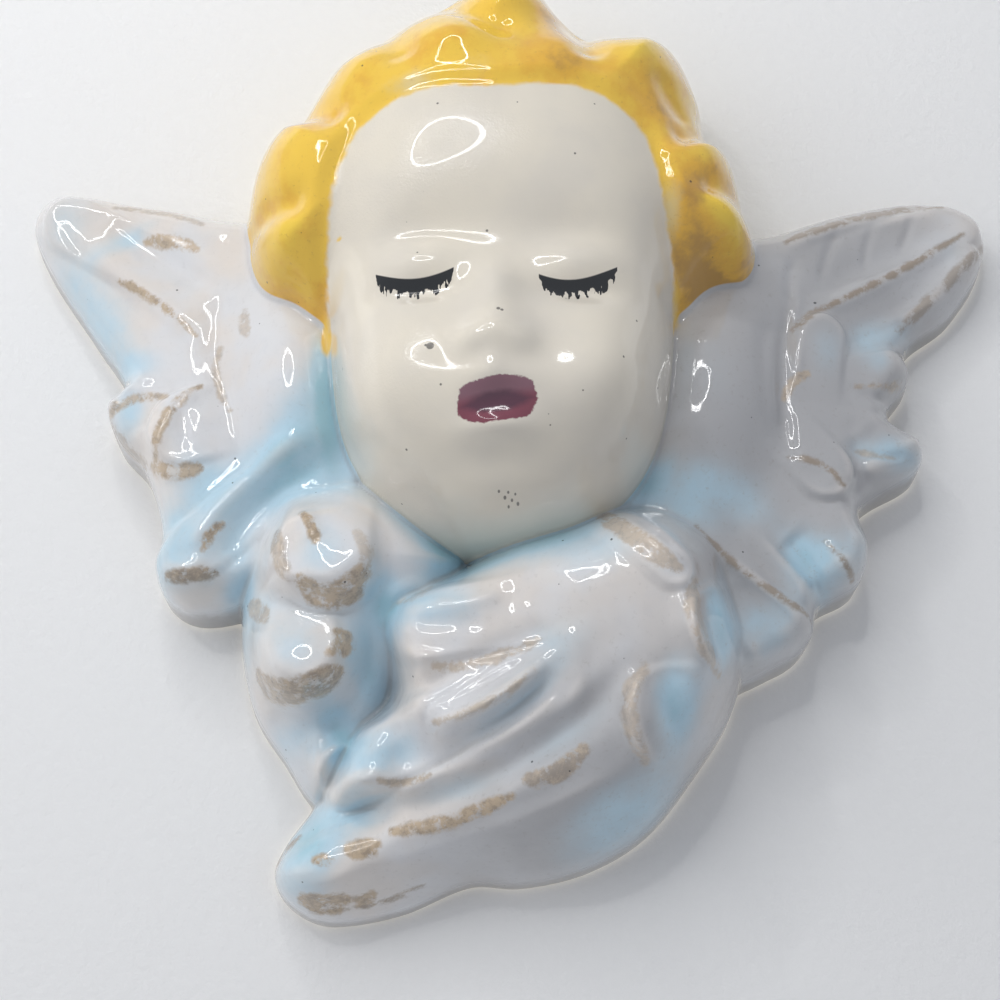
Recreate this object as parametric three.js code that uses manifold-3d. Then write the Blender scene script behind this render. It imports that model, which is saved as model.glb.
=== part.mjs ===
// Cherub wall plaque: a sleeping child's head above folded wings, cast in one piece and glazed.
// The flat back lies in the plane Y = 0, the face looks along -Y, +Z is up, and sizes are millimetres.
// The origin is on the back, behind the chin, where the plaque bears on the wall.

import * as THREE from "three";
import { mergeVertices } from "three/addons/utils/BufferGeometryUtils.js";
import Module from "manifold-3d";

// Driving sizes
const WIDTH = 208;
const DEPTH = 56;
const HOLE_DIAMETER = 12;
const HOLE_DEPTH = 16;

// The relief is laid out in steps across and up the back, and in levels off the back.
const STEPS_ACROSS = 208;
const LEVELS_DEEP = 56;
const STEP = WIDTH / STEPS_ACROSS;
const LEVEL = DEPTH / LEVELS_DEEP;

// The block that the relief is cut from, in steps, and the cells of its front
const BLOCK_FROM = [-112, -90];
const BLOCK_TO = [114, 122];
const CELLS_ACROSS = 86;
const CELLS_UP = 82;
const MIDDLE_CELL_SHARE = 0.9;
const DRAW_IN = 1.2;
const CURVE_PIECES = 6;
const STROKE_PIECES = 10;
const STROKE_END = 0.3;
const STROKE_FADE = 0.2;
const HOLE_SIDES = 24;

// The nail hole's middle on the back, in steps, and how far cuts reach past a face
const HOLE_PLACE = [0, 46];
const SPARE = 6;

// An outline stands this many levels off the back, and beyond it the surface falls to the block's floor.
const RIM = 2;
const FALL = 7;
const FLOOR = -24;
const BLOCK_BACK = 30;

// Each wing swells from its outline, and its surface runs from the level at its root to that at its tip.
const SIDE_WING_ROUND = 7;
const LEFT_WING = {
  outline: [
    [-43, 58], [-62, 66], [-81, 70], [-96, 72], [-102, 65], [-98, 54], [-87, 38], [-79, 26], [-82, 21],
    [-79, 13], [-73, 6], [-69, -6], [-70, -13], [-67, -20], [-60, -23], [-48, -20], [-31, -10], [-17, 20],
  ],
  root: { place: [-45, 19], level: 21 },
  tip: { place: [-92, 59], level: 10 },
  round: SIDE_WING_ROUND,
};
const RIGHT_WING = {
  outline: [
    [43, 54], [60, 62], [77, 68], [93, 70], [104, 65], [105, 56], [97, 43], [87, 35], [86, 27], [81, 19],
    [87, 14], [86, 7], [74, -1], [75, -9], [72, -17], [64, -22], [62, -28], [56, -33], [40, -37], [20, -18],
    [13, 16],
  ],
  root: { place: [47, 19], level: 21 },
  tip: { place: [96, 54], level: 10 },
  round: SIDE_WING_ROUND,
};
const FOLDED_WING_BEHIND = {
  outline: [
    [-35, 5], [-44, 2], [-49, -6], [-52, -18], [-52, -30], [-49, -42], [-43, -51], [-36, -60], [-29, -55],
    [-22, -42], [-14, -28], [-6, -15], [-8, -9], [-15, -1], [-26, 5],
  ],
  root: { place: [-30, -8], level: 29 },
  tip: { place: [-36, -57], level: 17 },
  round: 14,
};
const FOLDED_WING_FRONT = {
  outline: [
    [-25, -25], [-21, -18], [-9, -13], [4, -6], [20, -1], [33, -1], [43, -8], [47, -18], [49, -30], [46, -42],
    [39, -53], [29, -65], [17, -72], [4, -75], [-6, -75], [-19, -80], [-32, -82], [-40, -79], [-44, -73],
    [-42, -67], [-37, -60], [-33, -52], [-29, -44], [-23, -38],
  ],
  root: { place: [22, -23], level: 37 },
  tip: { place: [-39, -75], level: 16 },
  round: 20,
};

// Each shoulder is a long mound: its middle, half sizes, turn in degrees, top level and rise.
const SHOULDERS = [
  { place: [-41, 20], half: [13, 27], turn: 6, top: 27, rise: 15 },
  { place: [42, 17], half: [16, 29], turn: -12, top: 27, rise: 15 },
];

// Carved lines on the wings: from, through, to, height or depth, half width. A fold has a height below zero.
const WING_LINES = [
  // Left wing: the fold under the top lobe, the crest of the long feather, and the rims of the short ones
  [[-84, 64], [-72, 54], [-58, 44], -1.6, 3.0],
  [[-57, 44], [-58, 31], [-54, 16], -1.0, 3.0],
  [[-89, 57], [-74, 45], [-62, 35], 1.5, 3.2],
  [[-80, 17], [-78, 23], [-69, 24], 1.2, 2.2],
  [[-60, 22], [-66, 15], [-68, 6], 1.0, 2.0],
  [[-77, 22], [-74, 18], [-72, 12], -1.3, 3.4],
  [[-69, 6], [-64, 4], [-59, 5], 0.8, 2.0],
  [[-36, 11], [-52, -1], [-60, -14], 1.8, 2.8],
  [[-33, 6], [-47, -3], [-53, -16], -2.0, 3.2],
  [[-67, -15], [-61, -16], [-56, -13], 1.0, 2.0],
  // Right wing: the worn upper rim, the two long crests and the folds between them, then the short feathers
  [[59, 53], [72, 61], [91, 64], 1.2, 2.4],
  [[64, 39], [80, 48], [99, 60], 1.4, 2.2],
  [[83, 37], [92, 46], [104, 58], 1.2, 2.2],
  [[57, 38], [54, 25], [57, 6], -1.2, 2.6],
  [[65, 44], [78, 53], [96, 61], -0.9, 3.6],
  [[72, 34], [80, 40], [94, 48], -1.0, 3.0],
  [[57, 7], [63, 5], [67, 1], 0.8, 1.8],
  [[70, 13], [71, 5], [68, -1], -1.2, 2.2],
  [[72, 14], [78, 10], [85, 9], -0.9, 3.2],
  [[63, -10], [66, -14], [69, -17], 0.8, 1.8],
  [[56, -8], [60, -14], [63, -23], -1.8, 3.4],
  [[38, -7], [48, -17], [60, -25], 1.2, 2.0],
  [[44, -18], [48, -25], [54, -33], -0.9, 3.0],
  // Folded wing behind: the rims of its two scales, and the folds beside them
  [[-42, -10], [-41, -19], [-34, -22], 0.8, 2.2],
  [[-34, -22], [-26, -20], [-25, -11], 0.8, 2.2],
  [[-37, -6], [-36, -9], [-34, -13], 1.2, 1.8],
  [[-48, -24], [-45, -36], [-37, -39], 0.8, 2.2],
  [[-37, -39], [-29, -36], [-29, -28], 0.8, 2.2],
  [[-45, -41], [-38, -46], [-30, -41], -1.4, 3.0],
  [[-21, -20], [-26, -33], [-33, -49], -1.4, 3.2],
  // Folded wing in front: the feathers' edges with the folds below them, then the scales at its shoulder
  [[-19, -33], [-8, -36], [7, -31], 0.6, 2.2],
  [[-24, -36], [-9, -40], [8, -32], -1.6, 2.6],
  [[-14, -48], [-3, -43], [9, -34], 1.6, 2.2],
  [[-17, -41], [-6, -39], [6, -33], 1.2, 1.8],
  [[-11, -51], [0, -46], [11, -36], -1.4, 2.4],
  [[-33, -54], [-9, -54], [21, -35], 1.6, 2.6],
  [[-33, -57], [-8, -58], [24, -37], -2.2, 3.2],
  [[-37, -71], [-11, -63], [17, -49], 1.2, 3.2],
  [[-31, -77], [4, -72], [33, -53], -1.8, 3.4],
  [[19, -5], [26, -12], [33, -20], 1.2, 2.4],
  [[36, -21], [34, -28], [40, -37], 1.0, 2.2],
  [[26, -37], [23, -44], [27, -54], 1.0, 2.2],
  [[41, -20], [39, -28], [43, -34], -1.4, 3.2],
  [[32, -35], [30, -42], [34, -50], -1.4, 3.6],
];

// Swellings: middle, half sizes, turn in degrees, height
const WING_LOBES = [
  [[-68, 60], [11, 3.5], -8, 1.0],
  [[-63, 15], [7, 7.5], 20, 1.2],
  [[65, 29], [4.2, 7.6], 0, 0.6],
  [[79, 27], [4.6, 5.0], 0, 0.6],
  [[-8, -27], [14, 6], 4, 1.0],
  [[-34, -15], [7, 7], 0, 1.0],
  [[-38, -32], [7, 7], 0, 0.8],
  [[-28, -49], [9, 5], 25, 1.2],
];

// Feathers and scales that lie over each other: root, tip, half width, and rise at the tip's free edge.
// The edge slopes over a short width, and the middle of that slope lies on the scale's outline.
const SCALES = [
  [[-60, 44], [-97, 66], 7, 1.8],
  [[-64, 14], [-84, 20], 6, 1.8],
  [[-54, 16], [-70, 11], 8, 2.2],
  [[-40, 6], [-66, -18], 6, 1.8],
  [[62, 47], [103, 65], 6, 1.4],
  [[62, 36], [103, 55], 6, 1.4],
  [[63, 19], [67, 39], 5, 1.8],
  [[70, 22], [87, 27], 7, 1.8],
  [[66, 12], [88, 9], 6.5, 1.8],
  [[56, 14], [68, 0], 6, 2],
  [[60, -2], [71, -19], 6, 1.8],
  [[42, -6], [63, -27], 4.5, 1.4],
  [[44, -16], [56, -34], 6, 1.4],
  [[-33, -1], [-32, -25], 9, 2.6],
  [[-39, -22], [-38, -42], 8.5, 2.6],
  [[12, -24], [-21, -29], 7, 2.6],
  [[12, -33], [-13, -47], 3.5, 1.4],
  [[0, -40], [-34, -57], 6, 2.2],
  [[20, -47], [-43, -79], 8, 2],
  [[16, -3], [35, -21], 4.5, 1.8],
  [[49, -28], [34, -29], 9, 2],
  [[41, -45], [22, -45], 9, 2],
];
const SCALE_EDGE = 2;

// The skull swells from the outline of the hair, and the hair is a layer on it outside the hairline.
const SKULL = { level: 41, round: 26 };
const HAIR_OUTLINE = [
  [-34, 27], [-40, 34], [-48, 40], [-52, 47], [-54, 57], [-53, 68], [-49, 78], [-43, 82], [-38, 91],
  [-30, 98], [-19, 105], [-9, 111], [2, 114], [11, 111], [16, 104], [23, 101], [32, 101], [40, 96],
  [44, 86], [45, 78], [50, 71], [52, 62], [54, 51], [51, 44], [44, 41], [36, 32], [20, 24], [-20, 24],
];
const HAIRLINE = [
  [-34, 22], [-34, 36], [-33, 50], [-30, 62], [-25, 69], [-15, 73], [0, 73], [14, 74], [23, 71], [28, 66],
  [31, 56], [33, 46], [35, 36], [34, 24], [31, 7], [0, -18], [-28, 5],
];
const HAIR = { height: 1.7, edge: 4.5, lumpEdge: 7, fadeAtRim: 8 };
const HAIR_LUMPS = [
  [[-30, 82], [10, 8], 35, 3.6],
  [[-45, 66], [8, 9], 10, 3.2],
  [[-45, 47], [7, 7], 0, 3.2],
  [[-12, 91], [11, 8], 20, 3.0],
  [[4, 99], [8, 8], 0, 5.0],
  [[29, 85], [9, 8], -30, 4.4],
  [[43, 65], [7, 8], 0, 3.4],
  [[46, 51], [7, 8], 0, 4.4],
  [[14, 84], [8, 6], 0, 1.6],
  [[-38, 34], [4, 7], -30, 1.6],
];
const HAIR_LINES = [
  [[-44, 76], [-37, 75], [-30, 70], -2.6, 3.2],
  [[-54, 55], [-46, 54], [-36, 54], -2.4, 3.0],
  [[16, 99], [17, 90], [18, 80], -3.0, 3.4],
  [[45, 75], [40, 71], [33, 67], -2.6, 3.0],
  [[53, 59], [46, 58], [38, 58], -2.2, 2.8],
  [[-12, 102], [-6, 93], [4, 86], -1.8, 3.2],
  [[-24, 96], [-21, 88], [-18, 80], -1.4, 3.4],
  [[38, 73], [34, 77], [31, 82], -1.6, 2.4],
];

// The face is a dome that narrows at the jaw, with rounded features on it.
const FACE = { middle: [0.4, 42], half: [36.5, 57.5], level: 48.4, squareness: 2.5, fullness: 4.4 };
const JAW = { from: 12, over: 26, narrowing: 0.13, reach: 1.5 };
const FACE_EDGE = { reach: 0.95, corners: 48 };
const FACE_FEATURES = [
  // Forehead, the swell of the lower face, cheeks, the dip between the brows, eye hollows and closed lids
  [[-4, 63], [27, 15], 0, 2.0],
  [[0, 9], [26, 18], 0, 5.5],
  [[-23, 13], [12, 11], 0, 3.6],
  [[21.5, 13], [11, 11], 0, 5.6],
  [[-0.5, 46], [9, 6], 0, -0.6],
  [[-15, 39], [12, 9], 0, -4.4],
  [[14.5, 39], [12, 9], 0, -4.4],
  [[-15, 37.5], [8.6, 5.6], 0, 4.4],
  [[14.5, 37.5], [8.6, 5.6], 0, 4.4],
  [[-15.5, 31], [8, 2.4], 0, -1.2],
  [[14.5, 31], [8, 2.4], 0, -1.2],
  // Nose: bridge, back, tip and the two wings
  [[-0.9, 32], [4.5, 5], 0, 2.2],
  [[-0.8, 27], [5, 5], 0, 0.8],
  [[-1, 21.4], [5.6, 4.6], 0, 3.8],
  [[-6, 19.4], [3.2, 3], 0, 1.2],
  [[4.2, 19.4], [3.2, 3], 0, 1.2],
  // Mouth: the swell around it, the groove above, the lips, the opening and the crease below
  [[-0.5, 9], [8, 7], 0, 1.8],
  [[-1.2, 15], [2.4, 2.6], 0, 0.6],
  [[-0.5, 13], [6.6, 2.2], 0, 0.5],
  [[-0.6, 4.6], [6.2, 2.3], 0, 1.8],
  [[-0.5, 8.8], [5.4, 3], 0, -1.8],
  [[-0.5, -0.8], [9, 3], 0, -0.8],
  // Chin
  [[-0.6, -7], [9, 6], 0, 1.6],
];

// How softly neighbouring forms run into each other, in levels
const BLEND = { wings: 1, shoulders: 10, folded: 3, brow: 9, head: 4 };

// The larger of two levels, rounded over where they cross
function join(a, b, softness) {
  const near = Math.max(softness - Math.abs(a - b), 0) / softness;
  return Math.max(a, b) + (near * near * softness) / 4;
}

function clamp01(value) {
  return Math.min(Math.max(value, 0), 1);
}

function smooth(value) {
  const t = clamp01(value);
  return t * t * (3 - 2 * t);
}

// A closed curve through a few points, as short straight pieces
function closedLine(points) {
  const places = points.map(([x, z]) => new THREE.Vector3(x, 0, z));
  const curve = new THREE.CatmullRomCurve3(places, true, "catmullrom");
  return curve.getPoints(points.length * CURVE_PIECES).map((p) => [p.x, p.z]);
}

// The nearest point of a line of straight pieces: where it is, how far away, and its share of the line
function nearestOnLine(x, z, points) {
  const best = { x: 0, z: 0, away: Infinity, along: 0 };
  for (let i = 1; i < points.length; i += 1) {
    const [startX, startZ] = points[i - 1];
    const dx = points[i][0] - startX;
    const dz = points[i][1] - startZ;
    const share = clamp01(((x - startX) * dx + (z - startZ) * dz) / (dx * dx + dz * dz));
    const nearX = startX + share * dx;
    const nearZ = startZ + share * dz;
    const away = Math.sqrt((x - nearX) ** 2 + (z - nearZ) ** 2);
    if (away < best.away) {
      best.x = nearX;
      best.z = nearZ;
      best.away = away;
      best.along = (i - 1 + share) / (points.length - 1);
    }
  }
  return best;
}

function isInside(x, z, line) {
  let inside = false;
  for (let i = 1; i < line.length; i += 1) {
    const [startX, startZ] = line[i - 1];
    const [endX, endZ] = line[i];
    if (startZ > z !== endZ > z && x < startX + ((z - startZ) * (endX - startX)) / (endZ - startZ)) {
      inside = !inside;
    }
  }
  return inside;
}

// How far a place lies inside a closed line; outside it the distance is below zero
function insideDistance(x, z, line) {
  const { away } = nearestOnLine(x, z, line);
  return isInside(x, z, line) ? away : -away;
}

// A level that rises from an outline in a quarter round and stays at the top
function swell(distance, top, round) {
  if (distance < 0) {
    return RIM + FALL * distance;
  }
  const left = 1 - clamp01(distance / round);
  return RIM + (top - RIM) * Math.sqrt(1 - left * left);
}

function wingLevel(x, z, wing) {
  const { root, tip } = wing;
  const [dx, dz] = [tip.place[0] - root.place[0], tip.place[1] - root.place[1]];
  const along = ((x - root.place[0]) * dx + (z - root.place[1]) * dz) / (dx * dx + dz * dz);
  const top = root.level + (tip.level - root.level) * smooth(along);
  return swell(insideDistance(x, z, wing.line), top, wing.round);
}

// How far out a place is on an oval, with 1 on its rim
function ovalReach(x, z, middle, half, turn) {
  const angle = THREE.MathUtils.degToRad(turn);
  const [dx, dz] = [x - middle[0], z - middle[1]];
  const across = (dx * Math.cos(angle) + dz * Math.sin(angle)) / half[0];
  const up = (dz * Math.cos(angle) - dx * Math.sin(angle)) / half[1];
  return Math.hypot(across, up);
}

function swellings(x, z, rows) {
  return rows.reduce((sum, [middle, half, turn, height]) => {
    return sum + height * Math.exp(-(ovalReach(x, z, middle, half, turn) ** 2));
  }, 0);
}

// A carved line as short pieces; its middle point lies on the curve
function strokePieces([from, through, to, height, half]) {
  const bend = through.map((value, i) => 2 * value - (from[i] + to[i]) / 2);
  const curve = new THREE.QuadraticBezierCurve(
    new THREE.Vector2(...from), new THREE.Vector2(...bend), new THREE.Vector2(...to));
  return { points: curve.getPoints(STROKE_PIECES).map((p) => [p.x, p.y]), height, half };
}

// A carved line's height at a place: a rounded crest that fades towards both ends
function strokeHeight(x, z, { points, height, half }) {
  const { away, along } = nearestOnLine(x, z, points);
  const fade = STROKE_END + (1 - STROKE_END) * smooth(Math.min(along, 1 - along) / STROKE_FADE);
  return height * fade * Math.exp(-((away / half) ** 2));
}

function carving(x, z, strokes) {
  return strokes.reduce((sum, stroke) => sum + strokeHeight(x, z, stroke), 0);
}

// Each feather rises towards its free end and drops at its edge, and the higher one shows.
function scalesHeight(x, z) {
  return SCALES.reduce((height, [root, tip, half, rise]) => {
    const [dx, dz] = [tip[0] - root[0], tip[1] - root[1]];
    const length = Math.hypot(dx, dz);
    const end = [tip[0] - (dx * half) / length, tip[1] - (dz * half) / length];
    const { away } = nearestOnLine(x, z, [root, end]);
    const along = clamp01(((x - root[0]) * dx + (z - root[1]) * dz) / length ** 2);
    const inFromEdge = half + SCALE_EDGE / 2 - away;
    return Math.max(height, rise * along * smooth(inFromEdge / SCALE_EDGE));
  }, 0);
}

// How much narrower the face is at a height than across the cheeks
function jawNarrowing(z) {
  return 1 + JAW.narrowing * Math.min(Math.max((JAW.from - z) / JAW.over, 0), JAW.reach) ** 2;
}

function faceLevel(x, z) {
  const { middle, half, level, squareness, fullness } = FACE;
  const across = (Math.abs(x - middle[0]) * jawNarrowing(z)) / half[0];
  const up = Math.abs(z - middle[1]) / half[1];
  const reach = (across ** squareness + up ** squareness) ** (1 / squareness);
  if (reach > 1) {
    return FALL * half[0] * (1 - reach);
  }
  return level * Math.sqrt(1 - reach ** fullness);
}

// The line around the face where its side is steepest
function faceEdge() {
  return Array.from({ length: FACE_EDGE.corners + 1 }, (_, i) => {
    const angle = (2 * Math.PI * i) / FACE_EDGE.corners;
    const [across, up] = [Math.cos(angle), Math.sin(angle)]
      .map((part) => Math.sign(part) * Math.abs(part) ** (2 / FACE.squareness) * FACE_EDGE.reach);
    const z = FACE.middle[1] + up * FACE.half[1];
    return [FACE.middle[0] + (across * FACE.half[0]) / jawNarrowing(z), z];
  });
}

const wings = [LEFT_WING, RIGHT_WING, FOLDED_WING_BEHIND, FOLDED_WING_FRONT]
  .map((wing) => ({ ...wing, line: closedLine(wing.outline) }));
const wingStrokes = WING_LINES.map(strokePieces);
const hairStrokes = HAIR_LINES.map(strokePieces);
const hairOutline = closedLine(HAIR_OUTLINE);
const hairline = closedLine(HAIRLINE);
const drawnLines = [...wings.map((wing) => wing.line), hairOutline, faceEdge()];

function wingsLevel(x, z) {
  const [left, right, behind, front] = wings.map((wing) => wingLevel(x, z, wing));
  let level = join(left, right, BLEND.wings);
  for (const { place, half, turn, top, rise } of SHOULDERS) {
    const mound = top - rise * ovalReach(x, z, place, half, turn) ** 2;
    level = join(level, mound, BLEND.shoulders);
  }
  level = join(level, behind, BLEND.folded);
  level = join(level, front, BLEND.folded);
  return level + swellings(x, z, WING_LOBES) + carving(x, z, wingStrokes) + scalesHeight(x, z);
}

function headLevel(x, z) {
  const skull = swell(insideDistance(x, z, hairOutline), SKULL.level, SKULL.round);
  const bare = join(faceLevel(x, z), skull, BLEND.brow) + swellings(x, z, FACE_FEATURES);
  const beyondHairline = -insideDistance(x, z, hairline);
  const lumps = swellings(x, z, HAIR_LUMPS) + carving(x, z, hairStrokes);
  const layer = HAIR.height * smooth(beyondHairline / HAIR.edge);
  const hair = layer + lumps * smooth(beyondHairline / HAIR.lumpEdge);
  return bare + hair * clamp01(skull / HAIR.fadeAtRim);
}

// The front of the plaque at a place on the back, in levels
function reliefLevel(x, z) {
  return Math.max(join(wingsLevel(x, z), headLevel(x, z), BLEND.head), FLOOR);
}

// A corner close to an outline or to the face's edge is drawn onto it, so that the edge is clean.
function drawOntoOutline(x, z) {
  const nearest = drawnLines.map((line) => nearestOnLine(x, z, line)).sort((a, b) => a.away - b.away)[0];
  return nearest.away < DRAW_IN ? [nearest.x, nearest.z] : [x, z];
}

// Places along one side of the block, closer together in the middle
function spread(share) {
  const offset = 2 * share - 1;
  const eased = MIDDLE_CELL_SHARE * offset + (1 - MIDDLE_CELL_SHARE) * offset ** 3;
  return (eased + 1) / 2;
}

// A block whose front face takes the relief
function reliefBlock() {
  const block = new THREE.BoxGeometry(1, 1, 1, CELLS_ACROSS, 1, CELLS_UP);
  const position = block.getAttribute("position");
  for (let i = 0; i < position.count; i += 1) {
    const column = THREE.MathUtils.lerp(BLOCK_FROM[0], BLOCK_TO[0], spread(position.getX(i) + 0.5));
    const row = THREE.MathUtils.lerp(BLOCK_FROM[1], BLOCK_TO[1], spread(position.getZ(i) + 0.5));
    const isFront = position.getY(i) < 0;
    const [x, z] = isFront ? drawOntoOutline(column, row) : [column, row];
    position.setXYZ(i, x * STEP, (isFront ? -reliefLevel(x, z) : BLOCK_BACK) * LEVEL, z * STEP);
  }
  return block;
}

// The space in front of the wall, which trims the block to its outline and gives it a flat back
function roomInFront() {
  const reach = WIDTH + DEPTH;
  return new THREE.BoxGeometry(2 * reach, reach, 2 * reach).translate(0, -reach / 2, 0);
}

// A blind round hole in the back that takes the head of a nail
function nailHole() {
  const radius = HOLE_DIAMETER / 2;
  const length = HOLE_DEPTH + SPARE;
  return new THREE.CylinderGeometry(radius, radius, length, HOLE_SIDES)
    .translate(HOLE_PLACE[0] * STEP, length / 2 - HOLE_DEPTH, HOLE_PLACE[1] * STEP);
}

const wasm = await Module();
wasm.setup();

function toSolid(geometry) {
  geometry.deleteAttribute("normal");
  geometry.deleteAttribute("uv");
  const merged = mergeVertices(geometry);
  return new wasm.Manifold(new wasm.Mesh({
    numProp: 3,
    vertProperties: merged.getAttribute("position").array,
    triVerts: new Uint32Array(merged.getIndex().array),
  }));
}

function toGeometry(solid) {
  const { vertProperties, triVerts } = solid.getMesh();
  const geometry = new THREE.BufferGeometry();
  geometry.setAttribute("position", new THREE.BufferAttribute(vertProperties, 3));
  geometry.setIndex(new THREE.BufferAttribute(triVerts, 1));
  geometry.computeVertexNormals();
  return geometry;
}

const casting = toSolid(reliefBlock()).intersect(toSolid(roomInFront())).subtract(toSolid(nailHole()));
const glaze = new THREE.MeshStandardMaterial({ color: 0xe8e4e0, roughness: 0.12, metalness: 0 });
const plaque = new THREE.Mesh(toGeometry(casting), glaze);
plaque.name = "cherub_plaque";

const group = new THREE.Group();
group.add(plaque);

export default group;
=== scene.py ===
# Cherub wall plaque: a sleeping child's head above folded wings, cast in one piece, painted and glazed.
# The relief is laid out in steps up and across the flat back and in levels off it, as the solid is.
import math

import bpy
import numpy as np
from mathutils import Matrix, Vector


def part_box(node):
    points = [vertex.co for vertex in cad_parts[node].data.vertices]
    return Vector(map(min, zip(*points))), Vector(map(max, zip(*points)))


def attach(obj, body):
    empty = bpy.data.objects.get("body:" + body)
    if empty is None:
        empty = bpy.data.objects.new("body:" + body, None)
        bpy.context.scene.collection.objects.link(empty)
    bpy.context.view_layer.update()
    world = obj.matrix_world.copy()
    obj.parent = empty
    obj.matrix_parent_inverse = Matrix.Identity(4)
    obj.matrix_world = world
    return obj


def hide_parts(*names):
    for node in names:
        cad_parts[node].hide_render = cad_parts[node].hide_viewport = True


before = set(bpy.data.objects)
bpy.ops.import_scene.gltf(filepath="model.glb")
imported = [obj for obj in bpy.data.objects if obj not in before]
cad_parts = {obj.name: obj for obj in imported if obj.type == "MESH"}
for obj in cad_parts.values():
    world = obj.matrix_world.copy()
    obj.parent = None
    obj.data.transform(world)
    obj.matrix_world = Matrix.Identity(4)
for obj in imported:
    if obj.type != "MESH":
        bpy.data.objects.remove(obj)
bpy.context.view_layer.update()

bl_info = {
    "name": "Cherub Wall Plaque",
    "version": (1, 0, 0),
    "blender": (4, 5, 0),
    "location": "View3D > Sidebar > Plaque",
    "description": "Casts, paints and glazes a cherub wall plaque and lays it out for a picture",
    "category": "Object",
}

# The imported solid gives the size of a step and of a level.
LOW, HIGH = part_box("cherub_plaque")
STEPS_ACROSS = 208.2
LEVELS_DEEP = 56.0
STEP = (HIGH[0] - LOW[0]) / STEPS_ACROSS
LEVEL = (HIGH[1] - LOW[1]) / LEVELS_DEEP

# The sheet that the relief is pressed into, in steps, and how it ends at the outline
SHEET_MARGIN = 2.5
RIM = 2.0
FALL = 7.0
FLOOR = -24.0
CURVE_PIECES = 8
STROKE_PIECES = 12
STROKE_END = 0.3
STROKE_FADE = 0.2
HOLE_PLACE = (0.0, 46.0)
HOLE_SIDES = 48

# Each wing: outline, root place and level, tip place and level, and how far in it rounds over
LEFT_WING = {
    "outline": [
        (-43, 58), (-62, 66), (-81, 70), (-96, 72), (-102, 65), (-98, 54), (-87, 38), (-79, 26), (-82, 21),
        (-79, 13), (-73, 6), (-69, -6), (-70, -13), (-67, -20), (-60, -23), (-48, -20), (-31, -10), (-17, 20),
    ],
    "root": ((-45, 19), 21), "tip": ((-92, 59), 10), "round": 7,
}
RIGHT_WING = {
    "outline": [
        (43, 54), (60, 62), (77, 68), (93, 70), (104, 65), (105, 56), (97, 43), (87, 35), (86, 27), (81, 19),
        (87, 14), (86, 7), (74, -1), (75, -9), (72, -17), (64, -22), (62, -28), (56, -33), (40, -37), (20, -18),
        (13, 16),
    ],
    "root": ((47, 19), 21), "tip": ((96, 54), 10), "round": 7,
}
FOLDED_WING_BEHIND = {
    "outline": [
        (-35, 5), (-44, 2), (-49, -6), (-52, -18), (-52, -30), (-49, -42), (-43, -51), (-36, -60), (-29, -55),
        (-22, -42), (-14, -28), (-6, -15), (-8, -9), (-15, -1), (-26, 5),
    ],
    "root": ((-30, -8), 29), "tip": ((-36, -57), 17), "round": 14,
}
FOLDED_WING_FRONT = {
    "outline": [
        (-25, -25), (-21, -18), (-9, -13), (4, -6), (20, -1), (33, -1), (43, -8), (47, -18), (49, -30), (46, -42),
        (39, -53), (29, -65), (17, -72), (4, -75), (-6, -75), (-19, -80), (-32, -82), (-40, -79), (-44, -73),
        (-42, -67), (-37, -60), (-33, -52), (-29, -44), (-23, -38),
    ],
    "root": ((22, -23), 37), "tip": ((-39, -75), 16), "round": 20,
}

# Shoulders: middle, half sizes, turn in degrees, top level, rise
SHOULDERS = [
    ((-41, 20), (13, 27), 6, 27, 15),
    ((42, 17), (16, 29), -12, 27, 15),
]

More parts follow.
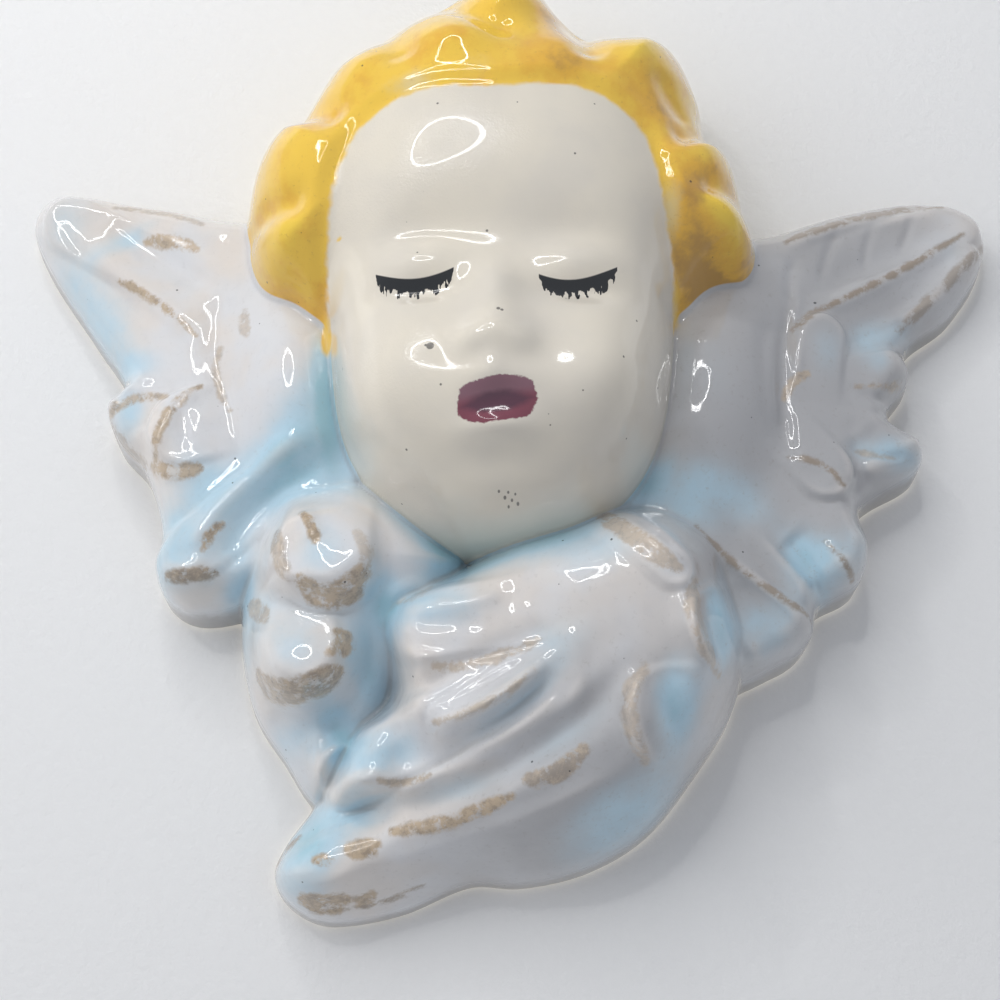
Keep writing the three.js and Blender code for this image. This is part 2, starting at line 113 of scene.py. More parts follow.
# Carved lines: from, through, to, height or depth, half width. The crests carry worn gold.
WING_LINES = [
    ((-84, 64), (-72, 54), (-58, 44), -1.6, 3.0),
    ((-57, 44), (-58, 31), (-54, 16), -1.0, 3.0),
    ((-89, 57), (-74, 45), (-62, 35), 1.5, 3.2),
    ((-80, 17), (-78, 23), (-69, 24), 1.2, 2.2),
    ((-60, 22), (-66, 15), (-68, 6), 1.0, 2.0),
    ((-77, 22), (-74, 18), (-72, 12), -1.3, 3.4),
    ((-69, 6), (-64, 4), (-59, 5), 0.8, 2.0),
    ((-36, 11), (-52, -1), (-60, -14), 1.8, 2.8),
    ((-33, 6), (-47, -3), (-53, -16), -2.0, 3.2),
    ((-67, -15), (-61, -16), (-56, -13), 1.0, 2.0),
    ((59, 53), (72, 61), (91, 64), 1.2, 2.4),
    ((64, 39), (80, 48), (99, 60), 1.4, 2.2),
    ((83, 37), (92, 46), (104, 58), 1.2, 2.2),
    ((57, 38), (54, 25), (57, 6), -1.2, 2.6),
    ((65, 44), (78, 53), (96, 61), -0.9, 3.6),
    ((72, 34), (80, 40), (94, 48), -1.0, 3.0),
    ((57, 7), (63, 5), (67, 1), 0.8, 1.8),
    ((70, 13), (71, 5), (68, -1), -1.2, 2.2),
    ((72, 14), (78, 10), (85, 9), -0.9, 3.2),
    ((63, -10), (66, -14), (69, -17), 0.8, 1.8),
    ((56, -8), (60, -14), (63, -23), -1.8, 3.4),
    ((38, -7), (48, -17), (60, -25), 1.2, 2.0),
    ((44, -18), (48, -25), (54, -33), -0.9, 3.0),
    ((-42, -10), (-41, -19), (-34, -22), 0.8, 2.2),
    ((-34, -22), (-26, -20), (-25, -11), 0.8, 2.2),
    ((-37, -6), (-36, -9), (-34, -13), 1.2, 1.8),
    ((-48, -24), (-45, -36), (-37, -39), 0.8, 2.2),
    ((-37, -39), (-29, -36), (-29, -28), 0.8, 2.2),
    ((-45, -41), (-38, -46), (-30, -41), -1.4, 3.0),
    ((-21, -20), (-26, -33), (-33, -49), -1.4, 3.2),
    ((-19, -33), (-8, -36), (7, -31), 0.6, 2.2),
    ((-24, -36), (-9, -40), (8, -32), -1.6, 2.6),
    ((-14, -48), (-3, -43), (9, -34), 1.6, 2.2),
    ((-17, -41), (-6, -39), (6, -33), 1.2, 1.8),
    ((-11, -51), (0, -46), (11, -36), -1.4, 2.4),
    ((-33, -54), (-9, -54), (21, -35), 1.6, 2.6),
    ((-33, -57), (-8, -58), (24, -37), -2.2, 3.2),
    ((-37, -71), (-11, -63), (17, -49), 1.2, 3.2),
    ((-31, -77), (4, -72), (33, -53), -1.8, 3.4),
    ((19, -5), (26, -12), (33, -20), 1.2, 2.4),
    ((36, -21), (34, -28), (40, -37), 1.0, 2.2),
    ((26, -37), (23, -44), (27, -54), 1.0, 2.2),
    ((41, -20), (39, -28), (43, -34), -1.4, 3.2),
    ((32, -35), (30, -42), (34, -50), -1.4, 3.6),
]

# Swellings: middle, half sizes, turn in degrees, height
WING_LOBES = [
    ((-68, 60), (11, 3.5), -8, 1.0),
    ((-63, 15), (7, 7.5), 20, 1.2),
    ((65, 29), (4.2, 7.6), 0, 0.6),
    ((79, 27), (4.6, 5.0), 0, 0.6),
    ((-8, -27), (14, 6), 4, 1.0),
    ((-34, -15), (7, 7), 0, 1.0),
    ((-38, -32), (7, 7), 0, 0.8),
    ((-28, -49), (9, 5), 25, 1.2),
]

# Feathers and scales that lie over each other: root, tip, half width, and rise at the tip's free edge
SCALES = [
    ((-60, 44), (-97, 66), 7.0, 1.8),
    ((-64, 14), (-84, 20), 6.0, 1.8),
    ((-54, 16), (-70, 11), 8.0, 2.2),
    ((-40, 6), (-66, -18), 6.0, 1.8),
    ((62, 47), (103, 65), 6.0, 1.4),
    ((62, 36), (103, 55), 6.0, 1.4),
    ((63, 19), (67, 39), 5.0, 1.8),
    ((70, 22), (87, 27), 7.0, 1.8),
    ((66, 12), (88, 9), 6.5, 1.8),
    ((56, 14), (68, 0), 6.0, 2.0),
    ((60, -2), (71, -19), 6.0, 1.8),
    ((42, -6), (63, -27), 4.5, 1.4),
    ((44, -16), (56, -34), 6.0, 1.4),
    ((-33, -1), (-32, -25), 9.0, 2.6),
    ((-39, -22), (-38, -42), 8.5, 2.6),
    ((12, -24), (-21, -29), 7.0, 2.6),
    ((12, -33), (-13, -47), 3.5, 1.4),
    ((0, -40), (-34, -57), 6.0, 2.2),
    ((20, -47), (-43, -79), 8.0, 2.0),
    ((16, -3), (35, -21), 4.5, 1.8),
    ((49, -28), (34, -29), 9.0, 2.0),
    ((41, -45), (22, -45), 9.0, 2.0),
]
SCALE_EDGE = 2.0

SKULL_LEVEL = 41
SKULL_ROUND = 26
HAIR_OUTLINE = [
    (-34, 27), (-40, 34), (-48, 40), (-52, 47), (-54, 57), (-53, 68), (-49, 78), (-43, 82), (-38, 91), (-30, 98),
    (-19, 105), (-9, 111), (2, 114), (11, 111), (16, 104), (23, 101), (32, 101), (40, 96), (44, 86), (45, 78),
    (50, 71), (52, 62), (54, 51), (51, 44), (44, 41), (36, 32), (20, 24), (-20, 24),
]
HAIRLINE = [
    (-34, 22), (-34, 36), (-33, 50), (-30, 62), (-25, 69), (-15, 73), (0, 73), (14, 74), (23, 71), (28, 66),
    (31, 56), (33, 46), (35, 36), (34, 24), (31, 7), (0, -18), (-28, 5),
]
HAIR_HEIGHT = 1.7
HAIR_EDGE = 4.5
HAIR_LUMP_EDGE = 7.0
HAIR_RIM_FADE = 8.0
HAIR_OVERHANG = 1.5
HAIR_LUMPS = [
    ((-30, 82), (10, 8), 35, 3.6),
    ((-45, 66), (8, 9), 10, 3.2),
    ((-45, 47), (7, 7), 0, 3.2),
    ((-12, 91), (11, 8), 20, 3.0),
    ((4, 99), (8, 8), 0, 5.0),
    ((28, 85), (10, 8), -30, 3.2),
    ((43, 65), (7, 8), 0, 3.4),
    ((46, 51), (7, 8), 0, 4.4),
    ((14, 84), (8, 6), 0, 1.6),
    ((-38, 34), (4, 7), -30, 1.6),
    ((-8, 85), (8, 5), 0, 2.0),
]
HAIR_LINES = [
    ((-44, 76), (-37, 75), (-30, 70), -2.6, 3.2),
    ((-54, 55), (-46, 54), (-36, 54), -2.4, 3.0),
    ((16, 99), (17, 90), (18, 80), -3.0, 3.4),
    ((45, 75), (40, 71), (33, 67), -2.6, 3.0),
    ((53, 59), (46, 58), (38, 58), -2.2, 2.8),
    ((-12, 102), (-6, 93), (4, 86), -1.8, 3.2),
    ((-24, 96), (-21, 88), (-18, 80), -1.4, 3.4),
    ((38, 73), (34, 77), (31, 82), -1.6, 2.4),
]

FACE_MIDDLE = (0.4, 42.0)
FACE_HALF = (36.5, 57.5)
FACE_LEVEL = 48.4
FACE_SQUARENESS = 2.5
FACE_FULLNESS = 4.4
JAW_FROM = 12.0
JAW_OVER = 26.0
JAW_NARROWING = 0.13
JAW_REACH = 1.5
FACE_FEATURES = [
    # Forehead, the swell of the lower face, cheeks, the dip between the brows, eye hollows and closed lids
    ((-4, 63), (27, 15), 0, 2.0),
    ((0, 9), (26, 18), 0, 5.5),
    ((-23, 13), (12, 11), 0, 3.6),
    ((21.5, 13), (11, 11), 0, 5.6),
    ((-0.5, 46), (9, 6), 0, -0.6),
    ((-15, 39), (12, 9), 0, -4.4),
    ((14.5, 39), (12, 9), 0, -4.4),
    ((-15, 37.7), (8.6, 4.6), 0, 4.2),
    ((14.5, 37.7), (8.6, 4.6), 0, 4.2),
    ((-15.5, 31), (8, 2.4), 0, -1.2),
    ((14.5, 31), (8, 2.4), 0, -1.2),
    # Nose: bridge, back, tip and the two wings
    ((-0.9, 32), (4.5, 5), 0, 2.2),
    ((-0.8, 27), (5, 5), 0, 0.8),
    ((-1, 21.4), (5.6, 4.6), 0, 3.8),
    ((-6, 19.4), (3.2, 3), 0, 1.2),
    ((4.2, 19.4), (3.2, 3), 0, 1.2),
    # Mouth: the swell around it, the groove above, the lips, the opening and the crease below
    ((-0.5, 9), (8, 7), 0, 1.8),
    ((-1.2, 15), (2.4, 2.6), 0, 0.6),
    ((-0.5, 13), (6.6, 2.2), 0, 0.5),
    ((-0.6, 3.6), (6.2, 2.3), 0, 1.8),
    ((-0.5, 8.8), (5.4, 3), 0, -1.8),
    ((-0.5, -0.8), (9, 3), 0, -0.8),
    # Chin
    ((-0.6, -7), (9, 6), 0, 1.6),
    ((-4, -14.5), (16, 4.5), 8, -8.0),
]

# How softly forms run into each other, in levels
BLEND_WINGS = 1.0
BLEND_SHOULDERS = 10.0
BLEND_FOLDED = 2.0
BLEND_BROW = 9.0
BLEND_HEAD = 3.4

# Finer folds and scratches that only the glazed piece has, in the same form as the carved lines
FINE_LINES = [
    ((56, 36), (54, 25), (55, 13), 0.7, 1.6),
    ((60, 42), (57, 26), (57, 9), -0.8, 1.4),
    ((62, 45), (60, 34), (60, 24), 0.5, 1.2),
    ((72, 60), (69, 54), (67, 48), -0.5, 1.2),
    ((80, 62), (78, 57), (77, 51), -0.4, 1.0),
    ((88, 64), (87, 60), (85, 56), -0.4, 1.0),
    ((62, 52), (60, 47), (60, 41), -0.6, 1.3),
    ((72, 23), (78, 21), (84, 25), -0.7, 1.2),
    ((71, 9), (76, 8), (82, 9), -0.7, 1.0),
    ((72, 5), (77, 2), (83, 3), -0.5, 1.0),
    ((46, -8), (54, -19), (60, -24), -0.6, 1.2),
    ((50, -8), (56, -16), (61, -23), 0.4, 1.2),
    ((-93, 60), (-83, 49), (-71, 38), -0.7, 1.8),
    ((-66, 20), (-63, 15), (-62, 8), -0.5, 1.4),
    ((-20, -29), (-19, -21), (-6, -20), 1.3, 1.8),
    ((-20, -29), (-14, -35), (0, -34), 0.9, 1.6),
    ((-19, -26), (-12, -28), (-2, -28), -0.9, 1.8),
    ((-13, -24), (-6, -24), (1, -22), 0.6, 1.4),
    ((-33, -57), (-32, -49), (-15, -44), 1.0, 1.6),
    ((-12, -46), (-2, -43), (7, -36), 0.7, 1.0),
    ((-10, -48), (0, -45), (9, -38), -0.8, 1.0),
    ((-7, -51), (3, -47), (11, -40), 0.7, 1.1),
    ((-22, -56), (-17, -57), (-12, -55), 0.6, 1.2),
    ((10, -28), (14, -36), (12, -45), 0.6, 2.0),
    ((19, -5), (25, -13), (33, -20), -0.8, 1.6),
    ((22, -4), (30, -10), (36, -20), 0.8, 1.6),
    ((38, -21), (37, -28), (42, -37), -0.8, 1.6),
    ((28, -37), (25, -44), (29, -53), -0.7, 1.6),
    ((-40, -12), (-38, -20), (-31, -22), -0.6, 1.6),
    ((-46, -28), (-43, -36), (-36, -38), -0.6, 1.6),
    ((-28, -72), (0, -64), (22, -54), 0.6, 1.6),
]

# Where the folded wings are fuller under the thick glaze: middle, half sizes, turn in degrees, level, lean
FULL_FRONT = [
    ((-7, -33), (19, 15), 25, 30.8, (0.15, -0.20)),
    ((-27, -51), (11, 8), 35, 22.0, (0.16, -0.22)),
    ((-33, -68), (13, 9), 30, 16.5, (0.10, -0.24)),
]
FULL_BEHIND = [
    ((-34, -14), (11, 9), 0, 31.2, (0.10, -0.10)),
    ((-37, -31), (10, 9.5), 0, 27.6, (0.10, -0.12)),
]
FULL_EDGE = 10

# Puffy forms and dips in them: middle, half sizes, turn in degrees, height
FINE_LOBES = [
    ((-12, -25.5), (10, 4.6), 12, 1.5),
    ((-30, -17), (6, 5.5), 25, 1.2),
    ((-37, -34), (7, 5.5), 0, 1.4),
    ((1, -41), (10, 2.8), 34, 1.0),
    ((-25, -50), (8, 4), 22, 1.2),
    ((-35, -70), (9, 5), 35, 1.2),
    ((35, -29), (3.2, 8), 10, 2.2),
    ((25.5, -46), (3.2, 8), 10, 2.2),
    ((26, -13), (3.2, 9), 48, 1.6),
    ((-17, -27), (2.5, 3), 0, 0.35),
    ((-3, -23), (3, 2), 0, 0.4),
    ((5, -26), (2, 3), 30, 0.5),
    ((-8, -29), (4, 1.6), 10, 0.35),
    ((-6, -35), (14, 2), 22, -1.4),
    ((-12, -47), (9, 2.2), 30, -1.0),
]

# Brushed gold: from, through, to, half width, strength, and tone from tan to grey brown
GOLD_STROKES = [
    ((-83, 67), (-72, 65), (-63, 61), 0.9, 0.55, 0.7),
    ((-75, 58), (-69, 57), (-64, 55), 1.5, 0.85, 0.1),
    ((-80, 48), (-72, 43), (-62, 34), 0.9, 0.9, 0.2),
    ((-52, 39), (-52, 36), (-51, 33), 1.2, 0.5, 0.4),
    ((-57, 31), (-57, 24), (-54, 17), 0.8, 0.6, 0.5),
    ((-80, 18), (-75, 20), (-67, 20), 1.2, 0.75, 0.3),
    ((-83, 20), (-77, 13), (-70, 6), 1.0, 0.6, 0.8),
    ((-60, 22), (-66, 15), (-68, 6), 1.2, 0.85, 0.3),
    ((-69, 6), (-64, 4), (-59, 5), 1.6, 0.85, 0.2),
    ((-54, -7), (-56, -9), (-57, -12), 0.9, 0.9, 0.2),
    ((-64, -17), (-60, -17), (-55, -16), 1.3, 0.85, 0.9),
    ((-37, -7), (-35, -10), (-34, -13), 1.1, 0.95, 0.4),
    ((-42, -10), (-41, -16), (-38, -20), 1.4, 0.6, 0.6),
    ((-37, -20), (-31, -23), (-25, -18), 2.0, 0.85, 0.3),
    ((-25, -18), (-25, -14), (-27, -11), 1.3, 0.45, 0.3),
    ((-48, -22), (-46, -24), (-44, -26), 1.8, 0.55, 0.4),
    ((-46, -36), (-39, -40), (-30, -36), 1.9, 0.85, 0.6),
    ((-30, -29), (-29, -31), (-31, -33), 1.6, 0.85, 0.3),
    ((-12, -36), (-3, -35), (7, -31), 1.1, 0.6, 0.3),
    ((-19, -23), (-16, -22), (-13, -20), 0.8, 0.4, 0.2),
    ((-12, -46), (-2, -43), (6, -37), 0.7, 0.6, 0.3),
    ((-22, -56), (-17, -56), (-13, -55), 0.8, 0.7, 0.4),
    ((-34, -70), (-32, -70), (-31, -70), 1.2, 0.95, 0.4),
    ((-28, -68), (-25, -68), (-23, -67), 1.8, 0.95, 0.3),
    ((-20, -65), (-9, -63), (2, -59), 1.4, 0.9, 0.3),
    ((5, -56), (10, -55), (15, -51), 1.8, 0.7, 0.8),
    ((-37, -77), (-33, -78), (-29, -77), 1.9, 0.95, 0.5),
    ((-27, -77), (-25, -77), (-24, -76), 1.3, 0.85, 0.4),
    ((-30, -79), (-21, -77), (-14, -74), 0.4, 0.9, 1.0),
    ((-43.6, -77), (-43.2, -71), (-38.6, -65.5), 0.8, 0.9, 1.2),
    ((19, -5), (25, -13), (32, -19), 2.1, 0.6, 0.2),
    ((36, -21), (35, -28), (40, -37), 1.7, 0.5, 0.3),
    ((26, -37), (23, -44), (26, -53), 1.5, 0.5, 0.4),
    ((60, 56), (78, 64), (95, 67), 1.2, 0.7, 1.6),
    ((64, 39), (80, 48), (99, 60), 0.8, 0.8, 2.0),
    ((83, 37), (92, 46), (105, 59), 1.2, 0.6, 1.8),
    ((57, 20), (59, 23), (62, 25), 1.1, 0.65, 0.3),
    ((60, 35), (62, 37), (65, 40), 1.0, 0.7, 1.8),
    ((57, 7), (63, 5), (67, 1), 0.7, 0.8, 1.6),
    ((72, 23), (80, 24), (83, 26), 0.7, 0.6, 0.6),
    ((71, 9), (75, 8), (79, 8), 0.5, 0.5, 0.5),
    ((63, -10), (66, -14), (69, -17), 0.6, 0.8, 1.4),
    ((38, -7), (48, -17), (60, -25), 0.7, 0.75, 1.8),
]

# Airbrushed blue: middle, half sizes, turn in degrees, strength
BLUE_SPOTS = [
    ((-93, 63), (7, 8), 0, 0.5), ((-90, 48), (9, 6), -55, 0.6), ((-80, 58), (3, 9), -55, 0.6),
    ((-82, 37), (9, 6), -55, 0.8), ((-76, 28), (7, 4), 0, 0.8), ((-75, 17), (4, 5), 0, 0.9),
    ((-63, -8), (6, 8), 30, 0.9), ((-66, -16), (6, 5), 0, 0.8), ((-50, 0), (6, 9), -50, 0.6),
    ((-52, -14), (5, 8), 10, 0.5), ((-36, 10), (9, 12), 0, 1.15), ((-34, 23), (4, 9), 0, 0.8),
    ((-44, 5), (8, 5), 40, 0.8), ((96, 56), (6, 6), 0, 0.3), ((80, 36), (9, 4), 15, 0.6),
    ((77, 29), (4, 4), 0, 0.5), ((79, 9), (9, 4), 0, 0.8), ((61, -14), (6, 7), 50, 1.1),
    ((52, -27), (8, 5), 50, 0.7), ((46, -1), (9, 6), -30, 0.6), ((37, -1), (6, 6), 0, 0.7),
    ((66, 30), (4, 7), 0, 0.4), ((42, 24), (7, 12), 0, 0.25), ((70, -10), (4, 6), 0, 0.5),
    ((-33, -15), (5, 6), 0, 0.7), ((-38, -32), (6, 6), 0, 0.6), ((-50, -28), (4, 10), 0, 0.6),
    ((-40, -48), (7, 6), 0, 0.6), ((-22, -23), (4, 7), 10, 0.9), ((-26, -34), (4, 8), 20, 0.9),
    ((-31, -46), (4, 6), 20, 0.8), ((-10, -11), (7, 4), 30, 1.2), ((-16, -5), (7, 4), -30, 0.9),
    ((11, -8), (9, 4), 20, 0.9), ((28, 1), (6, 4), 30, 0.9), ((-4, -15), (8, 3), 30, 0.8),
    ((18, -15), (9, 5), 15, 0.6), ((-12, -24), (10, 5), 0, 0.5), ((-38, -68), (6, 6), 0, 0.8),
    ((-29, -63), (7, 5), 20, 0.6), ((24, -64), (14, 5), 30, 0.8), ((41, -28), (3.5, 6), 0, 0.8),
    ((31, -42), (3.5, 6), 0, 0.8), ((11, -31), (8, 5), 30, 0.4), ((2, -42), (12, 3.5), 35, 0.5),
    ((-38, -76), (8, 4), 0, 0.5), ((-9, -57), (10, 3.5), 5, 0.4), ((12, -50), (10, 4), 35, 0.3),
    ((-24, -51), (8, 5), 15, 1.0), ((-36, -67), (6, 6), 40, 0.9), ((7, -13), (9, 4), 20, 0.5),
    ((33, -44), (5, 10), -15, 0.7), ((41, -27), (3, 10), 0, 0.6), ((20, -60), (12, 4), 30, 0.5),
    ((-13, -25), (8, 4), 0, 0.4), ((-45, -24), (5, 7), 0, 0.4), ((-58, 2), (9, 5), -50, 0.7),
]

# Painted shade: where the wings are painted greyer, mostly the right and lower parts that lie away from the light
PAINTED_SHADE_SPOTS = [
    ((78, 45), (32, 34), 0, 0.9), ((76, 10), (18, 20), 0, 0.7), ((46, 14), (18, 32), 0, 0.9),
    ((56, -20), (22, 18), 0, 0.7), ((16, -44), (26, 20), 0, 0.75), ((10, -66), (34, 12), 15, 0.8),
    ((-41, 12), (10, 12), 0, 0.35), ((-36, -44), (12, 12), 0, 0.3),
]

# Where the hair's glaze pools brown, where it is thin and pale, and where yellow runs down the crease
BROWN_SPOTS = [
    ((11, 92), (4, 9), 10, 1.0), ((12, 79), (6, 4), 0, 0.9), ((29, 76), (7, 5), -30, 0.7),
    ((34, 68), (5, 7), 0, 0.6), ((38, 55), (4, 7), 0, 1.1), ((39, 44), (6, 5), 0, 1.2),
    ((50, 47), (3, 6), 0, 0.9), ((45, 42), (8, 3), 0, 0.9), ((43, 61), (7, 3), -20, 0.7),
    ((-41, 73), (6, 4), -40, 0.6), ((-47, 56), (6, 3), 0, 0.5), ((-38, 40), (5, 4), 0, 0.4),
    ((-14, 82), (9, 4), 20, 0.3), ((37, 88), (4, 8), -20, 0.5),
]
PALE_SPOTS = [
    ((-28, 96), (13, 3), 32, 0.5), ((-3, 109), (10, 4), 10, 0.9), ((-17, 75), (6, 3), 0, 0.9),
    ((20, 99), (8, 3), -5, 0.7), ((33, 98), (8, 3), -10, 0.9), ((33, 52), (2.5, 6), 0, 0.8),
    ((-50, 75), (3, 8), -10, 0.5), ((51, 62), (3, 10), 10, 0.7), ((-5, 78), (4, 3), 0, 0.5),
    ((45, 79), (3, 9), 10, 0.6),
]
YELLOW_SPOTS = [
    ((-34.6, 31), (1.1, 3.6), 0, 1.5),
    ((-31, 46), (0.7, 0.5), 0, 1.0),
    ((35, 37), (1.5, 5), 0, 0.8),
]

# Eyes: middle and height of the lash line, its bow and slant; its half length and thickness
LASHES = [
    {"x": -15.9, "z": 33.8, "bow": 0.036, "slant": -0.02},
    {"x": 14.5, "z": 33.6, "bow": 0.036, "slant": 0.17},
]
LASH_HALF_LENGTH = 7.4
LASH_THICKNESS = 3.6

# The mouth: middle, half sizes and turn in degrees of its painted oval
MOUTH_MIDDLE = (-0.5, 8.4)
MOUTH_HALF = (7.1, 3.9)
MOUTH_TURN = 7.0

# Dark marks burnt into the glaze one by one: place and radius
MARKS = [
    (-12.5, 18.7, 0.7), (-13.3, 18.9, 0.25), (-0.3, 25.2, 0.35), (0.35, 24.9, 0.3), (-0.2, -5.3, 0.22),
    (0.9, -6.1, 0.26), (2.2, -6.4, 0.22), (3.3, -6.8, 0.25), (1.5, -5.4, 0.2), (2.8, -5.6, 0.18),
    (1.6, -7.2, 0.2),
]


def join(a, b, softness):
    """The larger of two levels, rounded over where they cross."""
    near = np.maximum(softness - np.abs(a - b), 0) / softness
    return np.maximum(a, b) + near * near * softness / 4


def smooth(value):
    t = np.clip(value, 0, 1)
    return t * t * (3 - 2 * t)


def closed_line(points):
    """A closed curve through a few points, as short straight pieces."""
    p = np.array(points, float)
    before, after, later = np.roll(p, 1, 0), np.roll(p, -1, 0), np.roll(p, -2, 0)
    rows = []
    for t in np.arange(CURVE_PIECES) / CURVE_PIECES:
        a = 2 * p
        b = (after - before) * t
        c = (2 * before - 5 * p + 4 * after - later) * t ** 2
        d = (3 * p - before - 3 * after + later) * t ** 3
        rows.append((a + b + c + d) / 2)
    line = np.stack(rows, 1).reshape(-1, 2)
    return np.vstack([line, line[:1]])


def stroke_line(start, through, end):
    """A curve from start to end that passes through the middle point."""
    a, m, b = (np.array(p, float) for p in (start, through, end))
    bend = 2 * m - (a + b) / 2
    t = np.linspace(0, 1, STROKE_PIECES + 1)[:, None]
    return (1 - t) ** 2 * a + 2 * t * (1 - t) * bend + t ** 2 * b


def near_line(x, z, line):
    """The nearest point of a line to each place: how far away, its share of the line, and where."""
    away = np.full(x.shape, np.inf)
    along, near_x, near_z = np.zeros(x.shape), np.zeros(x.shape), np.zeros(x.shape)
    for i, (start, end) in enumerate(zip(line[:-1], line[1:])):
        run = end - start
        share = np.clip(((x - start[0]) * run[0] + (z - start[1]) * run[1]) / (run @ run), 0, 1)
        here_x = start[0] + share * run[0]
        here_z = start[1] + share * run[1]
        here = np.hypot(x - here_x, z - here_z)
        nearer = here < away
        away[nearer] = here[nearer]
        along[nearer] = (i + share[nearer]) / (len(line) - 1)
        near_x[nearer] = here_x[nearer]
        near_z[nearer] = here_z[nearer]
    return away, along, near_x, near_z


def inside_distance(x, z, line):
    """How far inside a closed line each place lies; outside it the distance is below zero."""
    away = near_line(x, z, line)[0]
    inside = np.zeros(x.shape, bool)
    for start, end in zip(line[:-1], line[1:]):
        if start[1] != end[1]:
            between = (start[1] > z) != (end[1] > z)
            inside ^= between & (x < start[0] + (z - start[1]) * (end[0] - start[0]) / (end[1] - start[1]))
    return np.where(inside, away, -away)


def swell(distance, top, round_over):
    """A level that rises from an outline in a quarter round and stays at the top."""
    left = 1 - np.clip(distance / round_over, 0, 1)
    return np.where(distance < 0, RIM + FALL * distance, RIM + (top - RIM) * np.sqrt(1 - left * left))


def oval_reach(x, z, middle, half, turn):
    angle = math.radians(turn)
    dx, dz = x - middle[0], z - middle[1]
    across = (dx * math.cos(angle) + dz * math.sin(angle)) / half[0]
    up = (dz * math.cos(angle) - dx * math.sin(angle)) / half[1]
    return np.hypot(across, up)


def swellings(x, z, rows):
    return sum(height * np.exp(-oval_reach(x, z, middle, half, turn) ** 2) for middle, half, turn, height in rows)


def carving(x, z, rows):
    """The heights of carved lines, each worked out only where it reaches."""
    total = np.zeros(x.shape)
    for start, through, end, height, half in rows:
        line = stroke_line(start, through, end)
        low, high = line.min(0) - 3 * half, line.max(0) + 3 * half
        near = (x > low[0]) & (x < high[0]) & (z > low[1]) & (z < high[1])
        away, along = near_line(x[near], z[near], line)[:2]
        fade = STROKE_END + (1 - STROKE_END) * smooth(np.minimum(along, 1 - along) / STROKE_FADE)
        total[near] += height * fade * np.exp(-(away / half) ** 2)
    return total


def scales_height(x, z):
    """Each feather rises towards its free end and drops at its edge; the higher one shows."""
    height = np.zeros(x.shape)
    for root, tip, half, rise in SCALES:
        root, tip = np.array(root, float), np.array(tip, float)
        run = tip - root
        end = tip - run * half / np.hypot(*run)
        away, share, _, _ = near_line(x, z, np.array([root, end]))
        along = ((x - root[0]) * run[0] + (z - root[1]) * run[1]) / (run @ run)
        height = np.maximum(height, rise * np.clip(along, 0, 1) * smooth((half - away) / SCALE_EDGE + 0.5))
    return height


def wing_level(x, z, wing):
    (root, root_level), (tip, tip_level) = wing["root"], wing["tip"]
    run = np.subtract(tip, root)
    along = ((x - root[0]) * run[0] + (z - root[1]) * run[1]) / (run @ run)
    top = root_level + (tip_level - root_level) * smooth(along)
    distance = inside_distance(x, z, closed_line(wing["outline"]))
    return swell(distance, top, wing["round"]), distance


def filled(level, distance, x, z, rows):
    """A wing's level, raised towards a plane where the wing is fuller."""
    for middle, half, turn, top, lean in rows:
        share = smooth((1.3 - oval_reach(x, z, middle, half, turn)) / 0.7) * smooth(distance / FULL_EDGE)
        plane = top + lean[0] * (x - middle[0]) + lean[1] * (z - middle[1])
        level = level + share * (plane - level)
    return level


def wings_level(x, z):
    """The level of all four wings and the shoulders, and how far inside their outlines each place is."""
    left, in_left = wing_level(x, z, LEFT_WING)
    right, in_right = wing_level(x, z, RIGHT_WING)
    behind, in_behind = wing_level(x, z, FOLDED_WING_BEHIND)
    front, in_front = wing_level(x, z, FOLDED_WING_FRONT)
    behind = filled(behind, in_behind, x, z, FULL_BEHIND)
    front = filled(front, in_front, x, z, FULL_FRONT)
    level = join(left, right, BLEND_WINGS)
    for middle, half, turn, top, rise in SHOULDERS:
        level = join(level, top - rise * oval_reach(x, z, middle, half, turn) ** 2, BLEND_SHOULDERS)
    level = join(level, behind, BLEND_FOLDED)
    level = join(level, front, BLEND_FOLDED)
    level = level + swellings(x, z, WING_LOBES) + carving(x, z, WING_LINES) + carving(x, z, FINE_LINES)
    level = level + swellings(x, z, FINE_LOBES) + scales_height(x, z)
    return level, np.maximum.reduce([in_left, in_right, in_behind, in_front])


def face_level(x, z):
    jaw = 1 + JAW_NARROWING * np.clip((JAW_FROM - z) / JAW_OVER, 0, JAW_REACH) ** 2
    across = np.abs(x - FACE_MIDDLE[0]) * jaw / FACE_HALF[0]
    up = np.abs(z - FACE_MIDDLE[1]) / FACE_HALF[1]
    reach = (across ** FACE_SQUARENESS + up ** FACE_SQUARENESS) ** (1 / FACE_SQUARENESS)
    dome = FACE_LEVEL * np.sqrt(1 - np.clip(reach, 0, 1) ** FACE_FULLNESS)
    return np.where(reach > 1, FALL * FACE_HALF[0] * (1 - reach), dome)


def head_level(x, z):
    """The level of the face and hair, how far each place is past the hairline, and inside the hair."""
    in_hair = inside_distance(x, z, closed_line(HAIR_OUTLINE))
    skull = swell(in_hair, SKULL_LEVEL, SKULL_ROUND)
    bare = join(face_level(x, z), skull, BLEND_BROW) + swellings(x, z, FACE_FEATURES)
    beyond = -inside_distance(x, z, closed_line(HAIRLINE))
    lumps = swellings(x, z, HAIR_LUMPS) + carving(x, z, HAIR_LINES)
    hair = HAIR_HEIGHT * smooth(beyond / HAIR_EDGE) + lumps * smooth(beyond / HAIR_LUMP_EDGE)
    return bare + hair * np.clip(skull / HAIR_RIM_FADE, 0, 1), beyond, in_hair


